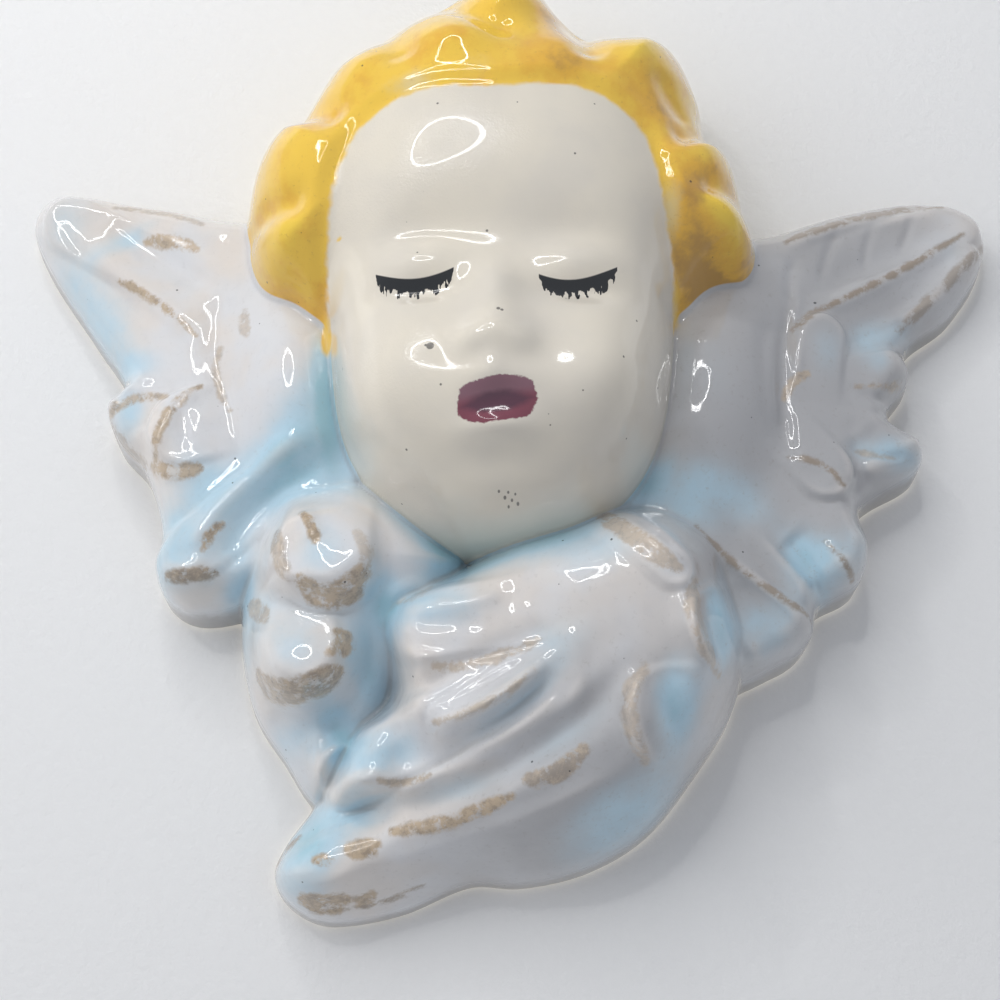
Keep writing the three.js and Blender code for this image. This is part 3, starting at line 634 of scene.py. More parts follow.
def relief(x, z):
    """The front's level at each place, and what the painter goes by."""
    wings, in_wings = wings_level(x, z)
    head, beyond_hairline, in_hair = head_level(x, z)
    level = np.maximum(join(wings, head, BLEND_HEAD), FLOOR)
    guides = {
        "head": head - wings,
        "hair": np.minimum(beyond_hairline, in_hair + HAIR_OVERHANG),
        "hair_edge": in_hair,
        "inside": np.maximum.reduce([in_wings, in_hair, face_level(x, z)]),
    }
    return level, guides


def gold_guides(x, z):
    """How far each place is outside the nearest brush stroke, and that stroke's strength and tone."""
    distance = np.full(x.shape, 9.0)
    strength, tone = np.zeros(x.shape), np.zeros(x.shape)
    for start, through, end, half, stroke_strength, stroke_tone in GOLD_STROKES:
        line = stroke_line(start, through, end)
        low, high = line.min(0) - 5, line.max(0) + 5
        near = np.flatnonzero((x > low[0]) & (x < high[0]) & (z > low[1]) & (z < high[1]))
        away, along = near_line(x[near], z[near], line)[:2]
        outside = away - half * (0.6 + 0.4 * smooth(np.minimum(along, 1 - along) / STROKE_FADE))
        nearer = outside < distance[near]
        chosen = near[nearer]
        distance[chosen] = outside[nearer]
        strength[chosen] = stroke_strength
        tone[chosen] = stroke_tone
    return {"gold": distance, "gold_strength": strength, "gold_tone": tone}


def deselect_all():
    if bpy.context.object and bpy.context.object.mode != "OBJECT":
        bpy.ops.object.mode_set(mode="OBJECT")
    bpy.ops.object.select_all(action="DESELECT")


def new_piece(name):
    """Names the primitive that was just added and returns it."""
    piece = bpy.context.object
    piece.name = name
    piece.data.name = name
    return piece


def places_of(mesh):
    places = np.empty(len(mesh.vertices) * 3)
    mesh.vertices.foreach_get("co", places)
    return places.reshape(-1, 3)


def set_places(mesh, places):
    mesh.vertices.foreach_set("co", places.astype(np.float32).ravel())
    mesh.update()


def drawn_onto_outlines(x, z, reach):
    """Corners close to an outline are moved onto it, so that the edge is clean."""
    best = np.full(x.shape, reach)
    new_x, new_z = x.copy(), z.copy()
    outlines = [LEFT_WING["outline"], RIGHT_WING["outline"], FOLDED_WING_BEHIND["outline"],
                FOLDED_WING_FRONT["outline"], HAIR_OUTLINE]
    for outline in outlines:
        away, _, near_x, near_z = near_line(x, z, closed_line(outline))
        nearer = away < best
        best[nearer] = away[nearer]
        new_x[nearer] = near_x[nearer]
        new_z[nearer] = near_z[nearer]
    return new_x, new_z


def press_sheet(sizes):
    """A fine sheet pressed into the relief; it runs on behind the wall beyond the outline."""
    low = np.array([LOW[0], LOW[2]]) / STEP - SHEET_MARGIN
    high = np.array([HIGH[0], HIGH[2]]) / STEP + SHEET_MARGIN
    cell = sizes.cell / STEP
    counts = np.ceil((high - low) / cell).astype(int)
    deselect_all()
    bpy.ops.mesh.primitive_grid_add(x_subdivisions=int(counts[0]), y_subdivisions=int(counts[1]), size=1.0)
    sheet = new_piece("cherub_plaque_glazed")
    share = places_of(sheet.data)[:, :2] + 0.5
    x, z = (low + share * (high - low)).T
    x, z = drawn_onto_outlines(x, z, 0.45 * cell)
    level, _ = relief(x, z)
    set_places(sheet.data, np.column_stack([x * STEP, -level * LEVEL, z * STEP]))
    return sheet


def soften_walls(sheet, sizes):
    """Evens out the steep sides, where the sheet's cells are stretched, and leaves the carving alone."""
    mesh = sheet.data
    normals = np.empty(len(mesh.vertices) * 3)
    mesh.vertices.foreach_get("normal", normals)
    steepness = 1 + normals.reshape(-1, 3)[:, 1]
    weights = smooth((steepness - 0.25) / 0.35)
    group = sheet.vertex_groups.new(name="walls")
    for weight in np.unique(np.round(weights[weights > 0], 1)):
        chosen = np.flatnonzero(np.round(weights, 1) == weight)
        group.add(chosen.tolist(), float(weight), "REPLACE")
    smoother = sheet.modifiers.new("even walls", "SMOOTH")
    smoother.vertex_group = group.name
    smoother.factor = 0.5
    smoother.iterations = sizes.wall_passes
    bpy.ops.object.modifier_apply(modifier=smoother.name)
    sheet.vertex_groups.clear()


def keep_in_box(body):
    """Nothing of the fine mesh reaches past the solid's box."""
    set_places(body.data, np.clip(places_of(body.data), LOW, HIGH))


def trim_back(sheet):
    """Cuts the sheet off flat at the wall and closes it with the back."""
    bpy.ops.object.mode_set(mode="EDIT")
    bpy.ops.mesh.select_all(action="SELECT")
    bpy.ops.mesh.bisect(plane_co=(0, 0, 0), plane_no=(0, 1, 0), use_fill=True, clear_outer=True,
                        threshold=0.000001)
    bpy.ops.mesh.select_all(action="SELECT")
    bpy.ops.mesh.remove_doubles(threshold=0.00002)
    bpy.ops.mesh.normals_make_consistent(inside=False)
    bpy.ops.object.mode_set(mode="OBJECT")


def pierce_nail_hole(body, sizes):
    """Sinks the blind hole that the plaque hangs by."""
    length = sizes.hole_depth + SHEET_MARGIN * STEP
    deselect_all()
    bpy.ops.mesh.primitive_cylinder_add(
        vertices=HOLE_SIDES, radius=sizes.hole_diameter / 2, depth=length,
        location=(HOLE_PLACE[0] * STEP, length / 2 - sizes.hole_depth, HOLE_PLACE[1] * STEP),
        rotation=(math.pi / 2, 0, 0))
    cutter = new_piece("nail_hole_cutter")
    deselect_all()
    bpy.context.view_layer.objects.active = body
    body.select_set(True)
    cut = body.modifiers.new("nail hole", "BOOLEAN")
    cut.operation = "DIFFERENCE"
    cut.object = cutter
    bpy.ops.object.modifier_apply(modifier=cut.name)
    bpy.data.objects.remove(cutter, do_unlink=True)


def finish_shading(body, sizes):
    """Smooth all over, with a crisp edge where the side meets the flat back."""
    mesh = body.data
    bpy.ops.object.shade_smooth()
    bpy.ops.object.mode_set(mode="EDIT")
    bpy.ops.mesh.select_mode(type="FACE")
    bpy.ops.mesh.select_all(action="DESELECT")
    bpy.ops.object.mode_set(mode="OBJECT")
    normals = np.array([face.normal[:] for face in mesh.polygons])
    depths = np.array([face.center[1] for face in mesh.polygons])
    is_back = (normals[:, 1] > 0.9) & (depths > -sizes.hole_depth - STEP)
    mesh.polygons.foreach_set("select", is_back)
    mesh.polygons.foreach_set("material_index", is_back.astype(np.int32))
    bpy.ops.object.mode_set(mode="EDIT")
    bpy.ops.mesh.quads_convert_to_tris()
    bpy.ops.mesh.region_to_loop()
    bpy.ops.mesh.mark_sharp()
    bpy.ops.object.mode_set(mode="OBJECT")


class Chart:
    """The relief on an even grid, to look up what the painter goes by at any place."""

    SPACING = 0.5
    MARGIN = 10.0

    def __init__(self):
        low = np.array([LOW[0], LOW[2]]) / STEP - self.MARGIN
        high = np.array([HIGH[0], HIGH[2]]) / STEP + self.MARGIN
        self.low = low
        across = np.arange(low[0], high[0], self.SPACING)
        up = np.arange(low[1], high[1], self.SPACING)
        x, z = np.meshgrid(across, up)
        level, self.layers = relief(x, z)
        level = np.maximum(level, 0)
        for name, reach in (("crease", 1.0), ("hollow", 2.5), ("basin", 6.0)):
            self.layers[name] = self.around(level, reach)

    def around(self, level, reach):
        """How much higher a ring about each place is, with walls counted as slopes of one in one."""
        turns = np.arange(16) * math.pi / 8
        shifts = np.round(reach / self.SPACING * np.stack([np.cos(turns), np.sin(turns)], 1)).astype(int)
        higher = [np.clip(np.roll(level, tuple(shift), (1, 0)) - level, -reach, reach) for shift in shifts]
        return sum(higher) / len(higher)

    def look_up(self, name, x, z):
        layer = self.layers[name]
        across = (x - self.low[0]) / self.SPACING
        up = (z - self.low[1]) / self.SPACING
        i, j = np.floor(across).astype(int), np.floor(up).astype(int)
        s, t = across - i, up - j
        lower = layer[j, i] * (1 - s) + layer[j, i + 1] * s
        upper = layer[j + 1, i] * (1 - s) + layer[j + 1, i + 1] * s
        return lower * (1 - t) + upper * t


def write_guides(body):
    """Keeps what the painter goes by on the mesh's vertices."""
    mesh = body.data
    places = places_of(mesh)
    x, z = places[:, 0] / STEP, places[:, 2] / STEP
    chart = Chart()
    guides = {name: chart.look_up(name, x, z) for name in chart.layers}
    guides.update(gold_guides(x, z))
    # The "grey" guide holds the painted shade spots.
    for name, spots in (("blue", BLUE_SPOTS), ("grey", PAINTED_SHADE_SPOTS), ("brown", BROWN_SPOTS), ("pale", PALE_SPOTS),
                        ("yellow", YELLOW_SPOTS)):
        guides[name] = swellings(x, z, spots)
    for name, values in guides.items():
        layer = mesh.attributes.new(name, "FLOAT", "POINT")
        layer.data.foreach_set("value", values.astype(np.float32))


class Wire:
    """A socket that takes part in sums; each operator adds the node that works it out."""

    def __init__(self, bench, socket):
        self.bench = bench
        self.socket = socket

    def sum(self, operation, *values):
        return self.bench.node("ShaderNodeMath", {"operation": operation}, dict(enumerate(values)))

    def __add__(self, other):
        return self.sum("ADD", self, other)

    __radd__ = __add__

    def __sub__(self, other):
        return self.sum("SUBTRACT", self, other)

    def __rsub__(self, other):
        return self.sum("SUBTRACT", other, self)

    def __mul__(self, other):
        return self.sum("MULTIPLY", self, other)

    __rmul__ = __mul__

    def __truediv__(self, other):
        return self.sum("DIVIDE", self, other)

    def __pow__(self, other):
        return self.sum("POWER", self, other)

    def __abs__(self):
        return self.sum("ABSOLUTE", self)


class Bench:
    """Lays out the nodes of one material."""

    def __init__(self, name):
        self.material = bpy.data.materials.new(name)
        self.material.use_nodes = True
        self.tree = self.material.node_tree
        self.tree.nodes.clear()

    def node(self, kind, settings=None, inputs=None, output=0):
        made = self.tree.nodes.new(kind)
        for setting, value in (settings or {}).items():
            setattr(made, setting, value)
        for key, value in (inputs or {}).items():
            if isinstance(value, Wire):
                self.tree.links.new(value.socket, made.inputs[key])
            else:
                made.inputs[key].default_value = value
        return Wire(self, made.outputs[output]) if made.outputs else None

    def guide(self, name):
        return self.node("ShaderNodeAttribute", {"attribute_name": name}, output=2)

    def steps(self):
        """The place on the piece, counted in steps."""
        place = self.node("ShaderNodeTexCoord", output=3)
        return self.node("ShaderNodeVectorMath", {"operation": "SCALE"}, {0: place, "Scale": 1 / STEP})

    def parts(self, vector):
        made = self.node("ShaderNodeSeparateXYZ", inputs={0: vector})
        return [Wire(self, made.socket.node.outputs[i]) for i in range(3)]

    def vector(self, x, y, z):
        return self.node("ShaderNodeCombineXYZ", inputs={0: x, 1: y, 2: z})

    def noise(self, place, size, detail=2.0, roughness=0.5):
        return self.node("ShaderNodeTexNoise", {"noise_dimensions": "3D"},
                         {"Vector": place, "Scale": 1 / size, "Detail": detail, "Roughness": roughness})

    def ramp(self, value, low, high):
        """0 below low and 1 above high, with a soft rise between; low may be the larger."""
        return self.node("ShaderNodeMapRange", {"interpolation_type": "SMOOTHSTEP"},
                         {0: value, 1: low, 2: high, 3: 0.0, 4: 1.0})

    def mix(self, factor, first, second):
        first, second = (tuple(c) + (1.0,) if isinstance(c, tuple) and len(c) == 3 else c for c in (first, second))
        return self.node("ShaderNodeMix", {"data_type": "RGBA", "clamp_factor": True},
                         {0: factor, 6: first, 7: second}, output=2)

    def lower(self, a, b):
        return self.node("ShaderNodeMath", {"operation": "MINIMUM"}, {0: a, 1: b})

    def higher(self, a, b):
        return self.node("ShaderNodeMath", {"operation": "MAXIMUM"}, {0: a, 1: b})

    def surface(self, settings, colour, roughness, height, bump_depth):
        """The shader: constants on its own sockets, the paint and glaze wired in."""
        normal = self.node("ShaderNodeBump", inputs={"Height": height, "Distance": bump_depth, "Strength": 1.0})
        inputs = {"Base Color": colour, "Roughness": roughness, "Normal": normal, **settings}
        return self.node("ShaderNodeBsdfPrincipled", inputs=inputs)

    def finish(self, shader):
        self.node("ShaderNodeOutputMaterial", inputs={"Surface": shader})
        return self.material


def colour_of(value):
    return tuple(value)


def paint_wings(bench, place, colours):
    """Pearly white, airbrushed blue in the hollows, grey on the thin rim and where grime sits in the creases and
    specks, and greyer painted shade on the parts away from the light.
    """
    cloud = bench.noise(place, 18.0, 3.0)
    mottle = bench.noise(place, 5.0, 4.0, 0.6)
    white = bench.mix(bench.ramp(cloud, 0.38, 0.62), colour_of(colours.wing_white), colour_of(colours.wing_blush))
    white = bench.mix(bench.ramp(mottle, 0.5, 0.85) * 0.3, white, colour_of(colours.wing_grey))
    # Painted shade: greyer where the painted shade spots lie, most of all on the right and lower wings
    painted_shade = bench.guide("grey") * (0.6 + 0.8 * cloud)
    white = bench.mix(bench.ramp(painted_shade, 0.1, 1.0), white, colour_of(colours.wing_painted_shade))
    pooled = bench.ramp(bench.guide("basin"), -0.5, 2.5)
    blue = bench.guide("blue") * (0.55 + 0.6 * mottle + 0.3 * pooled) + pooled * 0.12
    tinted = bench.mix(bench.ramp(blue, 0.08, 0.95) * 0.9, white, colour_of(colours.wing_blue))
    tinted = bench.mix(bench.ramp(blue, 0.85, 1.6) * 0.85, tinted, colour_of(colours.pooled_blue))
    crest = bench.ramp(bench.guide("hollow"), -0.25, -1.2)
    tinted = bench.mix(crest * 0.45, tinted, colour_of(colours.wing_blush))
    # Dirt specks, with more of them as painted shade where the painted shade spots lie
    dirt_and_shade = bench.ramp(bench.noise(place, 1.1, 4.0, 0.7), 0.55, 0.75) * (0.12 + 0.3 * painted_shade)
    tinted = bench.mix(dirt_and_shade, tinted, colour_of(colours.crease_grey))
    crease = bench.ramp(bench.guide("crease") + (mottle - 0.5) * 0.1, 0.06, 0.4)
    tinted = bench.mix(crease * 0.3, tinted, colour_of(colours.crease_grey))
    rim = bench.ramp(bench.guide("inside") + 1.2 * mottle, 1.6, 0.7)
    return bench.mix(rim * 0.7, tinted, colour_of(colours.crease_grey))


def gold_mask(bench, place):
    """Brushed strokes, broken and blotchy where the glaze has worn."""
    grain = bench.noise(place, 0.7, 3.0, 0.7)
    breaks = bench.noise(place, 3.4, 3.0, 0.55)
    edge = bench.guide("gold") + (grain - 0.5) * 0.9 + (breaks - 0.5) * 2.0
    worn = bench.ramp(breaks + (grain - 0.5) * 0.5, 0.68, 0.5)
    return bench.ramp(edge, 0.4, -0.6) * bench.guide("gold_strength") * (0.3 + 0.7 * worn)


def brush_gold(bench, place, mask, ground, colours):
    blotch = bench.noise(place, 1.8, 4.0, 0.75)
    dark = bench.ramp(blotch + bench.guide("gold_tone") * 0.26, 0.48, 0.82)
    gold = bench.mix(dark, colour_of(colours.worn_gold), colour_of(colours.gold_dark))
    return bench.mix(mask, ground, gold)


def paint_face(bench, place, colours):
    cloud = bench.noise(place, 16.0, 3.0)
    face = bench.mix(bench.ramp(cloud, 0.3, 0.7), colour_of(colours.face_cream), colour_of(colours.face_shade))
    seam = bench.ramp(bench.guide("head"), 3.5, 0.0)
    return bench.mix(seam * 0.45, face, colour_of(colours.seam_green))


def paint_hair(bench, place, colours):
    """Yellow glaze that pools brown in the folds and thins to pale on the outer edge."""
    cloud = bench.noise(place, 9.0, 4.0, 0.6)
    streak = bench.noise(place, 2.6, 4.0, 0.65)
    fleck = bench.noise(place, 1.0, 3.0, 0.7)
    uneven = (cloud - 0.5) * 2.2 + (streak - 0.5) * 0.8
    pooled = bench.guide("brown") + bench.ramp(bench.guide("basin"), 0.5, 3.0) * 0.7 + uneven
    hair = bench.mix(bench.ramp(pooled, 0.0, 0.7), colour_of(colours.hair_yellow), colour_of(colours.hair_orange))
    hair = bench.mix(bench.ramp(pooled, 0.6, 1.3), hair, colour_of(colours.hair_brown))
    crest = bench.ramp(bench.guide("basin") + uneven, -1.6, -3.4)
    hair = bench.mix(crest * 0.8, hair, colour_of(colours.hair_bright))
    thin = bench.ramp(bench.guide("hair_edge"), 3.0, 0.5) * 0.6 + bench.guide("pale") + uneven * 0.5
    hair = bench.mix(bench.ramp(thin, 0.2, 1.0) * 0.85, hair, colour_of(colours.hair_pale))
    return bench.mix(bench.ramp(fleck, 0.58, 0.75) * 0.4, hair, colour_of(colours.hair_brown))


def mouth_reach(x, z):
    """How far out a place is on the mouth's oval, with 1 on its edge."""
    angle = math.radians(MOUTH_TURN)
    dx, dz = x - MOUTH_MIDDLE[0], z - MOUTH_MIDDLE[1]
    across = (dx * math.cos(angle) + dz * math.sin(angle)) / MOUTH_HALF[0]
    up = (dz * math.cos(angle) - dx * math.sin(angle)) / MOUTH_HALF[1]
    return (abs(across) ** 2.8 + abs(up) ** 2.8) ** (1 / 2.8), up


def paint_mouth(bench, place, x, z, ground, colours):
    """Maroon lips, with the opening darker along the middle."""
    ragged = bench.noise(place, 1.6, 4.0, 0.65) - 0.5
    reach, up = mouth_reach(x, z)
    reach = reach + ragged * 0.3
    opening = bench.ramp(reach + abs(up + 0.1) * 0.9, 1.15, 0.6)
    lips = bench.mix(bench.ramp(up, -0.1, 0.5), colour_of(colours.mouth_red), colour_of(colours.mouth_upper))
    mouth = bench.mix(opening * 0.85, lips, colour_of(colours.mouth_dark))
    return bench.mix(bench.ramp(reach, 1.03, 0.96), ground, mouth)


def lash_mask(bench, x, z):
    """Black lash lines with a clean upper edge and short lashes below."""
    comb = bench.noise(bench.vector(x * 1.15, 0.0, z * 0.3), 1.0, 2.0, 0.6)
    total = None
    for eye in LASHES:
        dx = x - eye["x"]
        below = eye["z"] + dx * dx * eye["bow"] + dx * eye["slant"] - z
        taper = bench.higher(1 - (abs(dx) / LASH_HALF_LENGTH) ** 6.0, 0.0) ** 0.5
        depth = taper * (bench.ramp(comb, 0.38, 0.62) * 0.55 + 0.55) * LASH_THICKNESS
        line = bench.ramp(below, -0.15, 0.1) * bench.ramp(below - depth, 0.1, -0.1)
        line = line * bench.ramp(taper, 0.05, 0.3)
        total = line if total is None else bench.higher(total, line)
    return total


def speck_mask(bench, place):
    """Pinholes burnt dark: one by one over the glaze."""
    cells = bench.node("ShaderNodeTexVoronoi", {"feature": "F1"},
                       {"Vector": place, "Scale": 1 / 5.0, "Randomness": 1.0})
    size = bench.noise(place, 5.0, 1.0)
    return bench.ramp(cells - (size - 0.5) * 0.12, 0.045, 0.02)


def mark_mask(bench, x, z):
    """The dark marks that are placed one by one."""
    flat = bench.vector(x, 0.0, z)
    nearest = None
    for mark_x, mark_z, radius in MARKS:
        away = bench.node("ShaderNodeVectorMath", {"operation": "DISTANCE"},
                          {0: flat, 1: (mark_x, 0.0, mark_z)}, output=1)
        outside = away - radius
        nearest = outside if nearest is None else bench.lower(nearest, outside)
    return bench.ramp(nearest, 0.08, -0.08)


def glaze_front(colours):
    """The painted and glazed front."""
    bench = Bench("plaque_glaze")
    place = bench.steps()
    x, _, z = bench.parts(place)
    on_head = bench.ramp(bench.guide("head"), -0.4, 0.6)
    wings = paint_wings(bench, place, colours)
    gold = gold_mask(bench, place) * (1 - on_head)
    wings = brush_gold(bench, place, gold, wings, colours)
    edge = bench.noise(place, 3.0, 3.0) - 0.5
    face = paint_face(bench, place, colours)
    hair = paint_hair(bench, place, colours)
    in_hair = bench.ramp(bench.guide("hair") + edge * 1.8, -0.6, 0.8)
    head = bench.mix(in_hair, face, hair)
    head = paint_mouth(bench, place, x, z, head, colours)
    lashes = lash_mask(bench, x, z) * on_head
    head = bench.mix(lashes, head, colour_of(colours.lash_black))
    colour = bench.mix(on_head, wings, head)
    run = bench.ramp(bench.guide("yellow") + edge * 0.6, 0.25, 0.85)
    colour = bench.mix(run * 0.85, colour, colour_of(colours.hair_yellow))
    speck = bench.higher(speck_mask(bench, place), mark_mask(bench, x, z) * on_head)
    colour = bench.mix(speck * 0.75, colour, colour_of(colours.lash_black))
    cheek = bench.ramp(x, -9.0, -15.0) * bench.ramp(z, 27.0, 22.0)
    brow = bench.ramp(z, 41.0, 50.0) * (0.5 + 0.6 * bench.ramp(x, 4.0, -8.0))
    rough_skin = brow + cheek * 0.6
    patches = bench.ramp(bench.noise(place, 11.0, 2.0), 0.45, 0.6) * 0.12 + rough_skin
    skin = on_head * (1 - in_hair)
    rim = bench.ramp(bench.guide("inside"), 1.4, 0.6)
    roughness = 0.05 + gold * 0.2 + skin * 0.05 + rim * 0.3
    ripple = bench.noise(place, 7.0, 2.0) * (1 - skin * 0.8) * 2.2
    peel = bench.noise(place, 0.5, 3.0, 0.6) * (0.02 + skin * patches * 0.6)
    height = ripple + peel - speck * 0.3 + gold * 0.05 + lashes * 0.05
    settings = {"IOR": 1.52, "Coat Weight": 0.6, "Coat Roughness": 0.03}
    return bench.finish(bench.surface(settings, colour, roughness, height, 0.12 * STEP))


def bare_back(colours):
    """The unglazed flat back."""
    bench = Bench("plaque_back")
    place = bench.steps()
    cloud = bench.noise(place, 14.0, 4.0, 0.6)
    grain = bench.noise(place, 0.7, 3.0, 0.7)
    colour = bench.mix(bench.ramp(cloud, 0.3, 0.7), colour_of(colours.clay), colour_of(colours.clay_stain))
    return bench.finish(bench.surface({"IOR": 1.5}, colour, 0.8, grain, 0.15 * STEP))


def tone(name, description, default):
    return bpy.props.FloatVectorProperty(
        name=name, description=description, default=default, subtype="COLOR", size=3, min=0.0, max=1.0)


class PlaqueSizes(bpy.types.PropertyGroup):
    """Sizes of the casting."""

    cell: bpy.props.FloatProperty(
        name="Cell", description="Spacing of the relief's mesh", default=0.5 * STEP, unit="LENGTH")
    wall_passes: bpy.props.IntProperty(
        name="Wall passes", description="How many times the steep sides are evened out", default=8)
    hole_diameter: bpy.props.FloatProperty(
        name="Nail hole", description="Width of the blind hole in the back", default=12 * STEP, unit="LENGTH")
    hole_depth: bpy.props.FloatProperty(
        name="Hole depth", description="Depth of the blind hole in the back", default=16 * STEP, unit="LENGTH")


class GlazeColours(bpy.types.PropertyGroup):
    """Colours of the paint and glaze."""

    wing_white: tone("Wing white", "Pearly white of the wings", (0.70, 0.705, 0.72))
    wing_blush: tone("Wing blush", "Warmer white that drifts over the wings", (0.72, 0.675, 0.635))
    wing_grey: tone("Wing grey", "Greyer patches of the wings", (0.56, 0.56, 0.59))
    # Painted shade: the grey that darkens the wings away from the light
    wing_painted_shade: tone("Wing dull", "Where the wings' glaze is greyer", (0.42, 0.42, 0.43))
    wing_blue: tone("Wing blue", "Airbrushed blue", (0.45, 0.65, 0.77))
    pooled_blue: tone("Pooled blue", "Blue where the glaze runs thick", (0.31, 0.55, 0.65))
    seam_green: tone("Seam green", "Where the face meets the wings", (0.30, 0.34, 0.30))
    # Crease grey also colours the dirt specks, which are denser as painted shade on the wings away from the light
    crease_grey: tone("Crease grey", "Old dirt in the creases and thin glaze on the rim", (0.33, 0.31, 0.29))
    worn_gold: tone("Worn gold", "Dull gold on the feathers' crests", (0.50, 0.385, 0.26))
    gold_dark: tone("Dark gold", "Blotches in the gold", (0.27, 0.21, 0.15))
    face_cream: tone("Face cream", "Face", (0.76, 0.70, 0.59))
    face_shade: tone("Face shade", "Greyer patches of the face", (0.70, 0.65, 0.565))
    hair_yellow: tone("Hair yellow", "Hair", (0.85, 0.55, 0.065))
    hair_orange: tone("Hair orange", "Hair where the glaze runs thicker", (0.78, 0.44, 0.05))
    hair_bright: tone("Hair bright", "Hair on the lumps", (0.88, 0.62, 0.07))
    hair_brown: tone("Hair brown", "Hair where the glaze pools", (0.52, 0.29, 0.06))
    hair_pale: tone("Hair pale", "Hair where the glaze is thin", (0.74, 0.60, 0.30))
    mouth_red: tone("Mouth red", "Lower lip and the mouth's edge", (0.20, 0.05, 0.075))
    mouth_upper: tone("Upper lip", "Upper lip", (0.22, 0.105, 0.135))
    mouth_dark: tone("Mouth dark", "The open mouth", (0.075, 0.028, 0.05))
    lash_black: tone("Lash black", "Lashes and specks", (0.012, 0.014, 0.016))
    clay: tone("Clay", "Bare clay of the back", (0.72, 0.68, 0.60))
    clay_stain: tone("Clay stain", "Handling marks on the back", (0.58, 0.53, 0.45))


class StageSizes(bpy.types.PropertyGroup):
    """The camera's place and the lights."""

    camera_tilt: bpy.props.FloatProperty(
        name="Camera tilt", description="How far below the plaque's front the camera is",
        default=math.radians(15), subtype="ANGLE")
    camera_away: bpy.props.FloatProperty(
        name="Camera distance", description="From the camera to the middle of the relief", default=290 * STEP,
        unit="LENGTH")
    camera_lens: bpy.props.FloatProperty(name="Lens", description="Focal length", default=52.2, unit="CAMERA")
    aim_level: bpy.props.FloatProperty(
        name="Aim", description="How far off the back the camera looks", default=15 * STEP, unit="LENGTH")


GROUPS = {"plaque_sizes": PlaqueSizes, "glaze_colours": GlazeColours, "plaque_stage": StageSizes}


class PLAQUE_OT_cast(bpy.types.Operator):
    """Casts the plaque, paints its front and leaves its back bare"""

    bl_idname = "plaque.cast"
    bl_label = "Cast plaque"

    def execute(self, context):
        sizes = context.scene.plaque_sizes
        colours = context.scene.glaze_colours
        body = press_sheet(sizes)
        soften_walls(body, sizes)
        trim_back(body)
        keep_in_box(body)
        pierce_nail_hole(body, sizes)
        body.data.materials.clear()
        body.data.materials.append(glaze_front(colours))
        body.data.materials.append(bare_back(colours))
        finish_shading(body, sizes)
        write_guides(body)
        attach(body, "root")
        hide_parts("cherub_plaque")
        return {"FINISHED"}


def backdrop_paint(name, colour, roughness):
    """Matt paint that is clear from behind, so that the plaque's back can be looked at."""
    bench = Bench(name)
    place = bench.steps()
    grain = bench.noise(place, 2.5, 3.0, 0.6)
    tint = bench.mix(grain * 0.3, colour, tuple(0.93 * c for c in colour))
    paint = bench.surface({}, tint, roughness, grain, 0.2 * STEP)
    behind = bench.node("ShaderNodeNewGeometry", output="Backfacing")
    clear = bench.node("ShaderNodeBsdfTransparent")
    return bench.finish(bench.node("ShaderNodeMixShader", inputs={0: behind, 1: paint, 2: clear}))


def lamp_glow(name, strength):
    bench = Bench(name)
    return bench.finish(bench.node("ShaderNodeEmission", inputs={"Strength": strength}))


def add_area_light(name, place, aim, size, power, colour=(1.0, 1.0, 1.0)):
    deselect_all()
    bpy.ops.object.light_add(type="AREA", location=place)
    light = bpy.context.object
    light.name = name
    light.data.shape = "DISK"
    light.data.size = size
    light.data.energy = power
    light.data.color = colour
    direction = np.subtract(aim, place)
    light.rotation_euler = look_along(direction)
    return light


def look_along(direction):
    """The turn that points an object's -Z along a direction, with +Y up."""
    return Vector(direction).to_track_quat("-Z", "Y").to_euler()


def add_ring_lamp(place, aim, radius, width, strength):
    """A glowing ring, whose reflection shows as thin ovals in the glaze."""
    deselect_all()
    bpy.ops.mesh.primitive_torus_add(
        major_radius=radius, minor_radius=width / 2, major_segments=48, minor_segments=8, location=place,
        rotation=look_along(np.subtract(aim, place)))
    ring = new_piece("ring_lamp")
    ring.data.materials.append(lamp_glow("ring_lamp", strength))
    ring.visible_camera = False
    ring.visible_shadow = False
    return ring


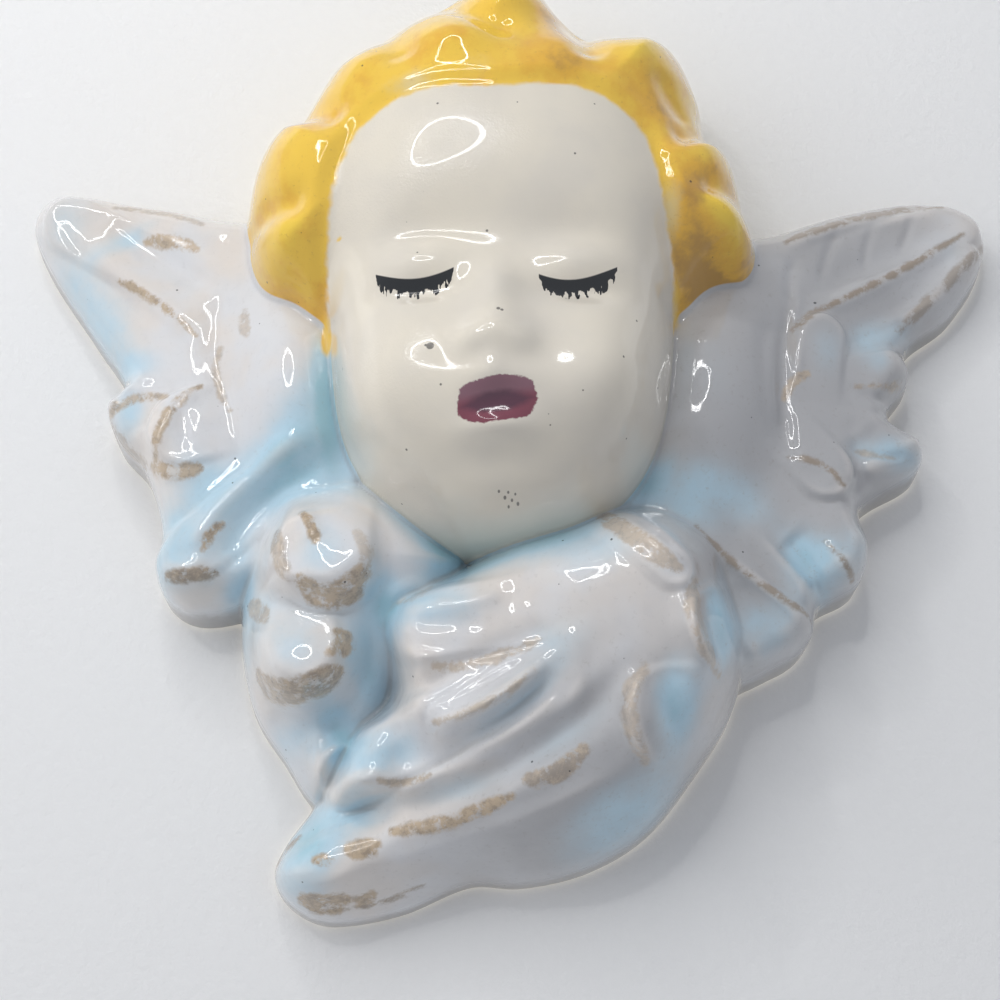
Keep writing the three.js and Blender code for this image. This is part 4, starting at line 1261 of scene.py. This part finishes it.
class PLAQUE_OT_stage(bpy.types.Operator):
    """Sets up the pale backdrop, the lights and the camera"""

    bl_idname = "plaque.stage"
    bl_label = "Lay out stage"

    def execute(self, context):
        stage = context.scene.plaque_stage
        deselect_all()
        bpy.ops.mesh.primitive_grid_add(
            x_subdivisions=8, y_subdivisions=8, size=12 * (HIGH[0] - LOW[0]), location=(0, STEP, 0),
            rotation=(math.pi / 2, 0, 0))
        backdrop = new_piece("backdrop")
        backdrop.data.materials.append(backdrop_paint("pale_backdrop", (0.84, 0.84, 0.835), 0.7))
        backdrop.visible_shadow = False

        aim = np.array([0, -stage.aim_level, 0])
        tilt = stage.camera_tilt
        eye = aim + stage.camera_away * np.array([0, -math.cos(tilt), -math.sin(tilt)])
        bpy.ops.object.camera_add(location=tuple(eye), rotation=(math.pi / 2 + tilt, 0, 0))
        camera = bpy.context.object
        camera.data.lens = stage.camera_lens
        camera.data.sensor_width = 36.0
        camera.data.clip_start = 0.01
        context.scene.camera = camera

        centre = (0.0, -0.03, 0.02)
        key = add_area_light("key_panel", (-0.86, -0.60, 0.20), centre, 0.9, 3.5, (1.0, 0.99, 0.97))
        key.visible_glossy = False
        add_area_light("back_panel", (0.05, 0.9, 0.25), centre, 0.5, 6.0)
        add_ring_lamp((-0.14, -0.44, 0.30), centre, 0.13, 0.013, 18.0)
        world = bpy.data.worlds.new("studio")
        world.use_nodes = True
        world.node_tree.nodes["Background"].inputs[0].default_value = (0.9, 0.93, 1.0, 1.0)
        world.node_tree.nodes["Background"].inputs[1].default_value = 0.50
        context.scene.world = world
        context.scene.view_settings.view_transform = "Standard"
        return {"FINISHED"}


class PLAQUE_PT_panel(bpy.types.Panel):
    """Lists the plaque's sizes, colours and steps"""

    bl_idname = "PLAQUE_PT_panel"
    bl_label = "Cherub wall plaque"
    bl_space_type = "VIEW_3D"
    bl_region_type = "UI"
    bl_category = "Plaque"

    def draw(self, context):
        for name, group in GROUPS.items():
            box = self.layout.box()
            for field in group.__annotations__:
                box.prop(getattr(context.scene, name), field)
        for operator in (PLAQUE_OT_cast, PLAQUE_OT_stage):
            self.layout.operator(operator.bl_idname)


CLASSES = (PlaqueSizes, GlazeColours, StageSizes, PLAQUE_OT_cast, PLAQUE_OT_stage, PLAQUE_PT_panel)


def register():
    for item in CLASSES:
        bpy.utils.register_class(item)
    for name, group in GROUPS.items():
        setattr(bpy.types.Scene, name, bpy.props.PointerProperty(type=group))


def unregister():
    for name in GROUPS:
        delattr(bpy.types.Scene, name)
    for item in reversed(CLASSES):
        bpy.utils.unregister_class(item)


def main():
    register()
    bpy.ops.plaque.stage()
    bpy.ops.plaque.cast()


if __name__ == "__main__":
    main()
